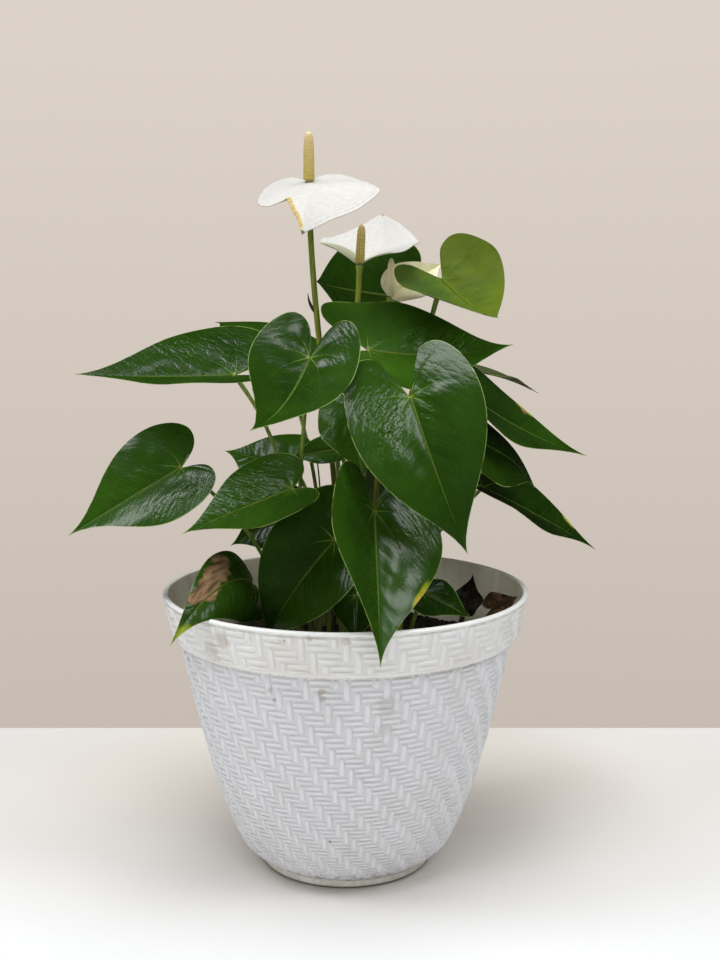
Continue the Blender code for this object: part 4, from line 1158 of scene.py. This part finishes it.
def leafFaceFinish(paint=leafColours):
    # from near black through deep green to yellow-green, with pale veins and margin, lumps between the
    # small veins where it is puckered, and yellow and dry brown patches
    material, shader, start = newFinish("leaf_face", IOR=1.45, Specular_IOR_Level=0.45)
    along, across, size, rim, tone = attributes(start, "along", "across", "size", "rim", "tone")
    pucker, bare, yellow, dried, ribs = attributes(start, "pucker", "bare", "yellow", "dried", "ribs")
    veins, side, reach = veinMask(along, across, size, ribs)
    flat = joinPlace(start, along, across, size * 0.37)
    broad = cloud(objectPlace(start), 34, 4, 0.6)
    fine = cloud(flat, 0.55, 4, 0.6)
    level = tone + (broad - 0.5) * 0.30 + (fine - 0.5) * 0.05 + falling(reach, 0.5, 15.0) * 0.13
    net = falling(cellEdge(flat, 0.34), 0.0, 0.10) * 0.05
    streaks = cloud(joinPlace(start, along * 0.05, across * 0.9), 1.0, 3, 0.5)
    ripe = yellow * falling(rim, 0.8, 6.0) * (fine * 1.6 + 0.2)
    ragged = dried + ((fine - 0.5) * 0.4 + (cloud(flat, 0.16, 2, 0.5) - 0.5)) * rising(dried, 0.05, 0.25)
    dead = rising(ragged, 0.42, 0.55)
    wrinkles = cloud(joinPlace(start, along * 0.07, across * 0.30), 1.0, 3, 0.5)
    bark = tint(rising(wrinkles, 0.35, 0.62), paint["bark"], paint["barkLight"])
    bark = tint(falling(ragged, 0.50, 0.66) * 0.6, bark, paint["barkEdge"])
    margin = tint(rising(cloud(flat, 0.10, 2, 0.5), 0.50, 0.62), paint["margin"], paint["marginBrown"])
    colour = tint(level * 2, paint["dark"], paint["green"])
    colour = layered(colour, (level * 2 - 1, paint["bright"]), (net, paint["net"]), (veins, paint["vein"]),
                     (bare * rising(streaks, 0.30, 0.60) * 0.65, paint["bare"]),
                     (rising(ripe, 0.05, 0.45), paint["turning"]),
                     (rising(ripe, 0.42, 0.95), paint["yellow"]), (dead, bark),
                     (falling(rim, 0.12, 0.52) * 0.85, margin))
    warp = cloud(flat, 0.30, 2, 0.5)
    lumpPlace = joinPlace(start, side * 0.27 + warp * 1.5, across * 0.16 + warp, size * 0.37)
    near = lumpPlace.node("TexVoronoi", None, {"Vector": lumpPlace, "Scale": 1.0}, "Distance")
    height = (1 - near * near) * pucker + fine * 0.03 - veins * 0.25
    rough = 0.19 + fine * 0.10 + dead * 0.40
    feed(shader, Base_Color=colour, Roughness=rough, Normal=bumpOf(height, 0.0013, 0.9))
    return material


def leafBackFinish(paint=leafColours):
    # paler and duller than the face, with its veins raised
    material, shader, start = newFinish("leaf_back", IOR=1.45, Specular_IOR_Level=0.14)
    along, across, size, tone = attributes(start, "along", "across", "size", "tone")
    bare, dried = attributes(start, "bare", "dried")
    veins = veinMask(along, across, size, 1, 0.75)[0]
    flat = joinPlace(start, along, across, size * 0.37)
    fine = cloud(flat, 0.5, 4, 0.6)
    broad = cloud(flat, 0.07, 3, 0.6)
    level = tone + (fine - 0.5) * 0.3 + (broad - 0.5) * 0.9
    streaks = cloud(joinPlace(start, along * 0.02, across * 0.6), 1.0, 3, 0.5)
    colour = tint(rising(level, 0.0, 1.1), paint["back"], paint["backLight"])
    colour = layered(colour, (falling(cellEdge(flat, 0.34), 0.0, 0.12) * 0.2, paint["backNet"]),
                     (bare * rising(streaks, 0.3, 0.6), paint["backBare"]),
                     (veins * 0.75, paint["backVein"]),
                     (rising(dried * (fine * 1.5 + 0.3), 0.40, 0.55), paint["backDried"]))
    height = veins * 0.8 + fine * 0.2
    feed(shader, Base_Color=colour, Roughness=0.44 + fine * 0.1, Normal=bumpOf(height, 0.0003, 0.9))
    return material


def stemFinish(name, dark, light, paint=leafColours):
    # streaked along its length, paler at its joint and brown at its foot
    material, shader, start = newFinish(name, IOR=1.45)
    place = objectPlace(start)
    joint = attributes(start, "tone")[0]
    x, y, height = (axisOf(place, axis) for axis in "XYZ")
    streak = cloud(joinPlace(start, x * 500, y * 500, height * 30), 1.0, 3, 0.6)
    broad = cloud(place, 22, 2, 0.5)
    colour = tint(rising(streak * 0.5 + broad * 0.5, 0.35, 0.65), dark, light)
    colour = layered(colour, (joint * 0.6, paint["stemJoint"]),
                     (falling(height, 0.165, 0.20) * 0.5, paint["stemFoot"]))
    feed(shader, Base_Color=colour, Roughness=0.36 + streak * 0.12, Normal=bumpOf(streak, 0.00015, 0.6))
    return material


leafFinishes = [leafFaceFinish(), leafBackFinish(),
                stemFinish("leaf_stem", leafColours["stem"], leafColours["stemLight"])]


def makeLeaves():
    for number, (name, leaf) in enumerate(leaves.items()):
        leaf = bladeDefaults | leaf | dict(seed=number + 1)
        blade = bladePart(leaf, plantShape["bladeThickness"])
        makePiece("dressed_" + name, [blade, *leafStemParts(leaf, 2, 1)], leafFinishes, [name])


makeLeaves()
print("leaves made:", len(leaves))


# blooms

# A bloom's spathe is shaped as a leaf's blade is, with stem, at and the other words of the leaves. drawn
# are the left and right halves' margins of the flat spathe, in mm, from the joint to the tip; yellow and
# dried are patches as on the leaves, and shade is where the white turns green. spadix is the finger's
# length, floret how far its florets stand out and spirals how many run round it and along it. lean is
# how far stem and finger lean to the side and to the front, and nod the finger's own lean where it has
# one. bracts are dry slivers beside the stem: foot, middle, tip and radius
blooms = {
    "bloom_tall": dict(
        stem=(-0.003, 0.001), at=(-0.024, -0.020, 0.482), turn=-92, tilt=-22, roll=1, length=0.076,
        halfWidth=0.046, fold=(-7, -15), curl=(-14, -6), arch=16, twist=-29, spadix=0.030,
        spadixRadius=0.0038, lean=(0, 4), sides=(1, 0.76), floret=0.045, spirals=(10, 17),
        bracts=[((-0.0195, -0.0128, 0.3935), (-0.0255, -0.0135, 0.401), (-0.0254, -0.0127, 0.4085),
                 0.0016)],
        drawn=(((-15, 6), (-22, 13), (-22, 20), (-14, 29), (1, 39), (9, 46), (13, 48), (17, 46),
                (24, 40), (31, 34), (38, 27), (47, 19), (59, 11), (69, 4), (76, 0)),
               ((-12, 9), (-25, 20), (-25, 31), (-18, 38), (-2, 43), (25, 42), (43, 39), (45, 32),
                (41, 27), (34, 21), (29, 17.5), (37, 14), (51, 9), (59, 5), (66, 3), (76, 0))),
        yellow=((31, -16, 5, 4), (38, -14, 6, 3.5), (46, -11, 6, 3.5), (54, -7, 6, 3), (61, -4, 5, 3),
                (68, -2, 5, 2.5)),
        dried=((75, 0, 4, 3), (58, -5, 1.2, 0.8), (47, -11, 0.9, 0.8))),
    "bloom_middle": dict(
        stem=(0.002, 0.010), at=(0.010, 0.020, 0.428), turn=71, tilt=13, roll=-7, length=0.074,
        halfWidth=0.045, fold=(43, 24), curl=(32, 28), arch=-38,
        spadix=0.0255, spadixRadius=0.0033, lean=(3, 0), sides=(0.80, 1), floret=0.09, spirals=(7, 11),
        drawn=(((-2, 5), (2, 20), (7, 33), (9, 43), (22, 45), (26, 40), (38, 31), (52, 20), (65, 10),
                (71, 5), (75, 0)),
               ((-10, 12), (-25, 31), (-28, 39), (-12, 44), (10, 44), (25, 38), (40, 29), (56, 18),
                (68, 7), (75, 0))),
        shade=((-2, 22, 16, 26, 1.5), (-14, -11, 11, 9, 1.4), (-25, -25, 10, 10, 1.4), (75, 0, 4, 3))),
    "bloom_low": dict(
        stem=(0.018, 0.012), at=(0.032, 0.030, 0.4055), turn=28, tilt=34, roll=47, length=0.0565,
        halfWidth=0.025, lobe=0.002, fold=(45, 35), curl=(0, -5), arch=21, twist=31,
        sides=(0.75, 1), spadix=0.0255, spadixRadius=0.0029, lean=(2, 0), nod=(1, 15),
        floret=0.03, spirals=(9, 13)),
}
bossHalf = 0.0028  # half the height of the boss in a spathe's middle
stalkShape = {
    "radius": 0.0020,
    "jointSwell": 0.0009,
    "jointLength": 0.0035,
}
# each finger's colours: foot, middle, upper part and tip, then its florets and the gaps between them
spadixColours = {
    "golden_spadix": ((0.54, 0.41, 0.075), (0.60, 0.46, 0.15), (0.70, 0.53, 0.26), (0.85, 0.72, 0.50),
                      (0.70, 0.58, 0.24), (0.30, 0.21, 0.04)),
    "olive_spadix": ((0.34, 0.27, 0.030), (0.42, 0.31, 0.07), (0.40, 0.29, 0.08), (0.36, 0.30, 0.10),
                     (0.78, 0.64, 0.30), (0.13, 0.09, 0.015)),
    "cream_spadix": ((0.60, 0.56, 0.32), (0.84, 0.76, 0.48), (0.97, 0.84, 0.48), (0.98, 0.90, 0.62),
                     (0.96, 0.88, 0.62), (0.84, 0.70, 0.40)),
}
# a spathe's colours, pale and dull
spatheColours = {
    "spathe_face": ((0.66, 0.645, 0.61), (0.595, 0.58, 0.545)),
    "spathe_back": ((0.55, 0.55, 0.44), (0.46, 0.46, 0.35)),
    "young_spathe_face": ((0.90, 0.86, 0.58), (0.80, 0.76, 0.47)),
    "young_spathe_back": ((0.45, 0.42, 0.155), (0.35, 0.32, 0.105)),
}


def bloomAxis(lean):
    side, front = np.radians(lean)
    return unit(np.array([math.tan(side), -math.tan(front), 1]))


def spadixPart(bloom):
    # a finger of revolution, radius = foot rounding * (1 - t^9)^0.5 * (1 - 0.12 t), with florets raised
    # where two sets of spirals cross
    rows, columns = 220, 110
    share = np.linspace(0, 1, rows)[:, None]
    around = np.linspace(0, 2 * np.pi, columns, endpoint=False)[None]
    finger = np.minimum(1, 22 * share) ** 0.3 * (1 - share ** 9) ** 0.5 * (1 - 0.12 * share)
    turns, rings = bloom["spirals"]
    florets = np.sin(turns * around + 2 * np.pi * rings * share)
    florets = florets * np.sin(turns * around - 2 * np.pi * rings * share)
    bumps = bloom["floret"] * florets * np.minimum(1, 8 * (1 - share))
    radius = bloom["spadixRadius"] * finger * (1 + bumps)
    axis = bloomAxis(bloom.get("nod", bloom["lean"]))
    side = unit(np.cross([0, 1, 0], axis))
    up = np.cross(axis, side)
    foot = np.array(bloom["at"]) + 0.2 * bossHalf * axis
    points = foot + radius[..., None] * (np.cos(around)[..., None] * side + np.sin(around)[..., None] * up)
    length = bloom["spadix"] + 0.8 * bossHalf
    points = points + (length * share[..., None]) * axis
    points[0], points[-1] = foot, foot + length * axis
    return part(points, gridQuads(rows, columns, ring=True, flip=True),
                height=np.repeat(share[:, 0], columns), floret=florets.reshape(-1))


def spadixFinish(name):
    # its colour from foot to tip, paler on the florets
    foot, middle, high, tip, dot, gap = spadixColours[name]
    material, shader, start = newFinish(name, Roughness=0.55)
    height, floret = attributes(start, "height", "floret")
    grain = cloud(objectPlace(start), 700, 3, 0.6)
    colour = layered(tint(rising(height, 0.05, 0.45), foot, middle), (rising(height, 0.45, 0.88), high),
                     (rising(height, 0.90, 0.98), tip), (rising(floret, 0.10, 0.75) * 0.45, dot),
                     (falling(floret, -0.8, 0.0) * 0.32, gap), (rising(grain, 0.60, 0.75) * 0.20, gap))
    feed(shader, Base_Color=colour, Normal=bumpOf(floret * 0.3 + grain * 0.2, 0.0003, 0.8))
    return material


def spatheFinish(name):
    # waxy white, greenish where it is shaded so, with an ochre band, a fine edge and faint lilac streaks
    pale, dull = spatheColours[name]
    material, shader, start = newFinish(name, IOR=1.45, Specular_IOR_Level=0.4)
    along, across, size, rim = attributes(start, "along", "across", "size", "rim")
    green, yellow, dried = attributes(start, "tone", "yellow", "dried")
    flat = joinPlace(start, along, across, size)
    fine = cloud(flat, 0.35, 4, 0.55)
    streaks = cloud(joinPlace(start, along * 0.05, across * 0.9), 1.0, 3, 0.5)
    lilac = rising(streaks, 0.55, 0.70) * rising(along / size, 0.45, 0.75) * 0.22
    green = green * (fine * 0.6 + 0.7)
    ochre = rising(yellow + (fine - 0.5) * 1.1, 0.40, 0.80)
    band = tint(rising(cloud(flat, 0.9, 4, 0.6), 0.40, 0.62), (0.42, 0.28, 0.06), (0.70, 0.56, 0.24))
    colour = layered(tint(rising(fine, 0.30, 0.70), dull, pale), (lilac, (0.52, 0.42, 0.50)),
                     (rising(green, 0.40, 0.62) * 0.85, (0.31, 0.32, 0.19)), (ochre, band),
                     (ochre * speck(flat, 0.55, 0.30, 0.30), (0.16, 0.08, 0.03)),
                     (rising(dried + (fine - 0.5) * 0.3, 0.35, 0.60), (0.17, 0.11, 0.06)),
                     (falling(rim, 0.05, 0.40) * 0.45, (0.36, 0.34, 0.20)))
    ridges = rim.maths("SINE", rim * 2.6) * falling(rim, 3.0, 9.0) * rising(across, 4.0, 12.0)
    height = cloud(flat, 0.09, 2, 0.4) * 0.8 + ridges * 0.35 + streaks * 0.25
    feed(shader, Base_Color=colour, Roughness=0.36 + fine * 0.12, Normal=bumpOf(height, 0.0006, 0.5))
    return material


def sliver(foot, middle, tip, radius):
    # a thin curled bract beside a stalk, widest at its middle
    t = np.linspace(0, 1, 14)[:, None]
    foot, middle, tip = (np.array(place) for place in (foot, middle, tip))
    path = (1 - t) ** 2 * foot + 2 * t * (1 - t) * middle + t ** 2 * tip
    radii = radius * (0.35 + 0.65 * np.sin(np.pi * t[:, 0])) * (1 - 0.75 * t[:, 0])
    return tube(path, radii, 8, 1, along=0, tone=0)


def makeBlooms():
    white = [spatheFinish("spathe_face"), spatheFinish("spathe_back")]
    young = [spatheFinish("young_spathe_face"), spatheFinish("young_spathe_back")]
    fingers = [spadixFinish(name) for name in spadixColours]
    stalk = stemFinish("bloom_stalk", (0.105, 0.135, 0.010), (0.280, 0.330, 0.036))
    bract = stemFinish("dry_bract", (0.030, 0.020, 0.010), (0.090, 0.055, 0.030))
    for (name, bloom), finger in zip(blooms.items(), fingers):
        axis = bloomAxis(bloom["lean"])
        path = stemPath(bloom["stem"], np.array(bloom["at"]) - 0.0003 * axis, axis)
        left = lengthAlong(path)
        joint = np.exp(-(left[-1] - left) / stalkShape["jointLength"])
        radii = stalkShape["radius"] + stalkShape["jointSwell"] * joint ** 1.6
        stem = tube(path, radii, 14, along=left * 1000, tone=joint)
        stems = [stem] + [sliver(*shape) for shape in bloom.get("bracts", [])]
        makePiece("dressed_" + name + "_stem", stems, [stalk, bract], [name + "_stem"])
        blade = bladeDefaults | dict(quilt=(0, 0), crinkled=0, tone=0) | bloom
        spathe = bladePart(blade, 0.0009, relief=0.4)
        finishes = young if name == "bloom_low" else white
        makePiece("dressed_" + name + "_spathe", [spathe], finishes, [name + "_spathe"])
        makePiece("dressed_" + name + "_spadix", [spadixPart(bloom)], [finger],
                  [name + "_spadix"])


makeBlooms()
print("blooms made")


# dead leaves, a dry stem and a new shoot

litter = {
    "dead_leaf_brown": dict(
        stem=(0.094, -0.020), at=(0.1045, -0.018, 0.188), turn=8, tilt=25, roll=60, length=0.019,
        halfWidth=0.011, lobe=0.006, fold=(20, 20), curl=(30, 10), arch=-10),
    "dead_leaf_dark": dict(
        stem=(0.082, 0.002), at=(0.0875, 0.004, 0.186), turn=30, tilt=65, roll=30, length=0.024,
        halfWidth=0.011, lobe=0.008, fold=(40, 30), curl=(30, 50), arch=-50),
}
bareStems = {
    "dry_stem": dict(stem=(-0.010, 0.011), top=(-0.0165, 0.009, 0.334), radius=0.0009),
    "young_shoot": dict(stem=(-0.021, -0.006), top=(-0.022, 0.000, 0.302), radius=0.0012),
}


def deadFinish(name, dark, light):
    # dry and crumpled, with darker veins and margin
    material, shader, start = newFinish(name, Specular_IOR_Level=0.25)
    along, across, size, rim = attributes(start, "along", "across", "size", "rim")
    veins = veinMask(along, across, size)[0]
    grain = cloud(objectPlace(start), 260, 5, 0.65)
    colour = layered(tint(rising(grain, 0.35, 0.65), dark, light), (veins * 0.4, (0.20, 0.13, 0.07)),
                     (falling(rim, 0.2, 1.4) * 0.7, (0.020, 0.012, 0.008)))
    feed(shader, Base_Color=colour, Roughness=0.55 + grain * 0.3, Normal=bumpOf(grain, 0.0012, 0.9))
    return material


def makeLitter():
    brown = deadFinish("dry_leaf_brown", (0.022, 0.011, 0.004), (0.090, 0.046, 0.015))
    dark = deadFinish("dry_leaf_dark", (0.006, 0.006, 0.003), (0.034, 0.031, 0.019))
    for (name, leaf), finish in zip(litter.items(), (brown, dark)):
        leaf = bladeDefaults | leaf | dict(crinkled=1, wave=0.003, quilt=(0.0006, 0.0006))
        blade = bladePart(leaf, 0.0005, relief=1.6)
        parts = [blade, *leafStemParts(leaf, 0, 0)]
        makePiece("dressed_" + name, parts, [finish, finish], [name])
    finishes = {"dry_stem": stemFinish("dry_stem_brown", (0.012, 0.009, 0.006), (0.050, 0.036, 0.020)),
                "young_shoot": stemFinish("shoot_green", (0.050, 0.080, 0.020), (0.140, 0.170, 0.050))}
    for name, stem in bareStems.items():
        path = stemPath(stem["stem"], stem["top"], (-0.2, 0, 1))
        radii = stem["radius"] * np.linspace(1, 0.35, len(path))
        bare = tube(path, radii, 10, tone=0)
        makePiece("dressed_" + name, [bare], [finishes[name]], [name])


makeLitter()
print("dead leaves and bare stems made")
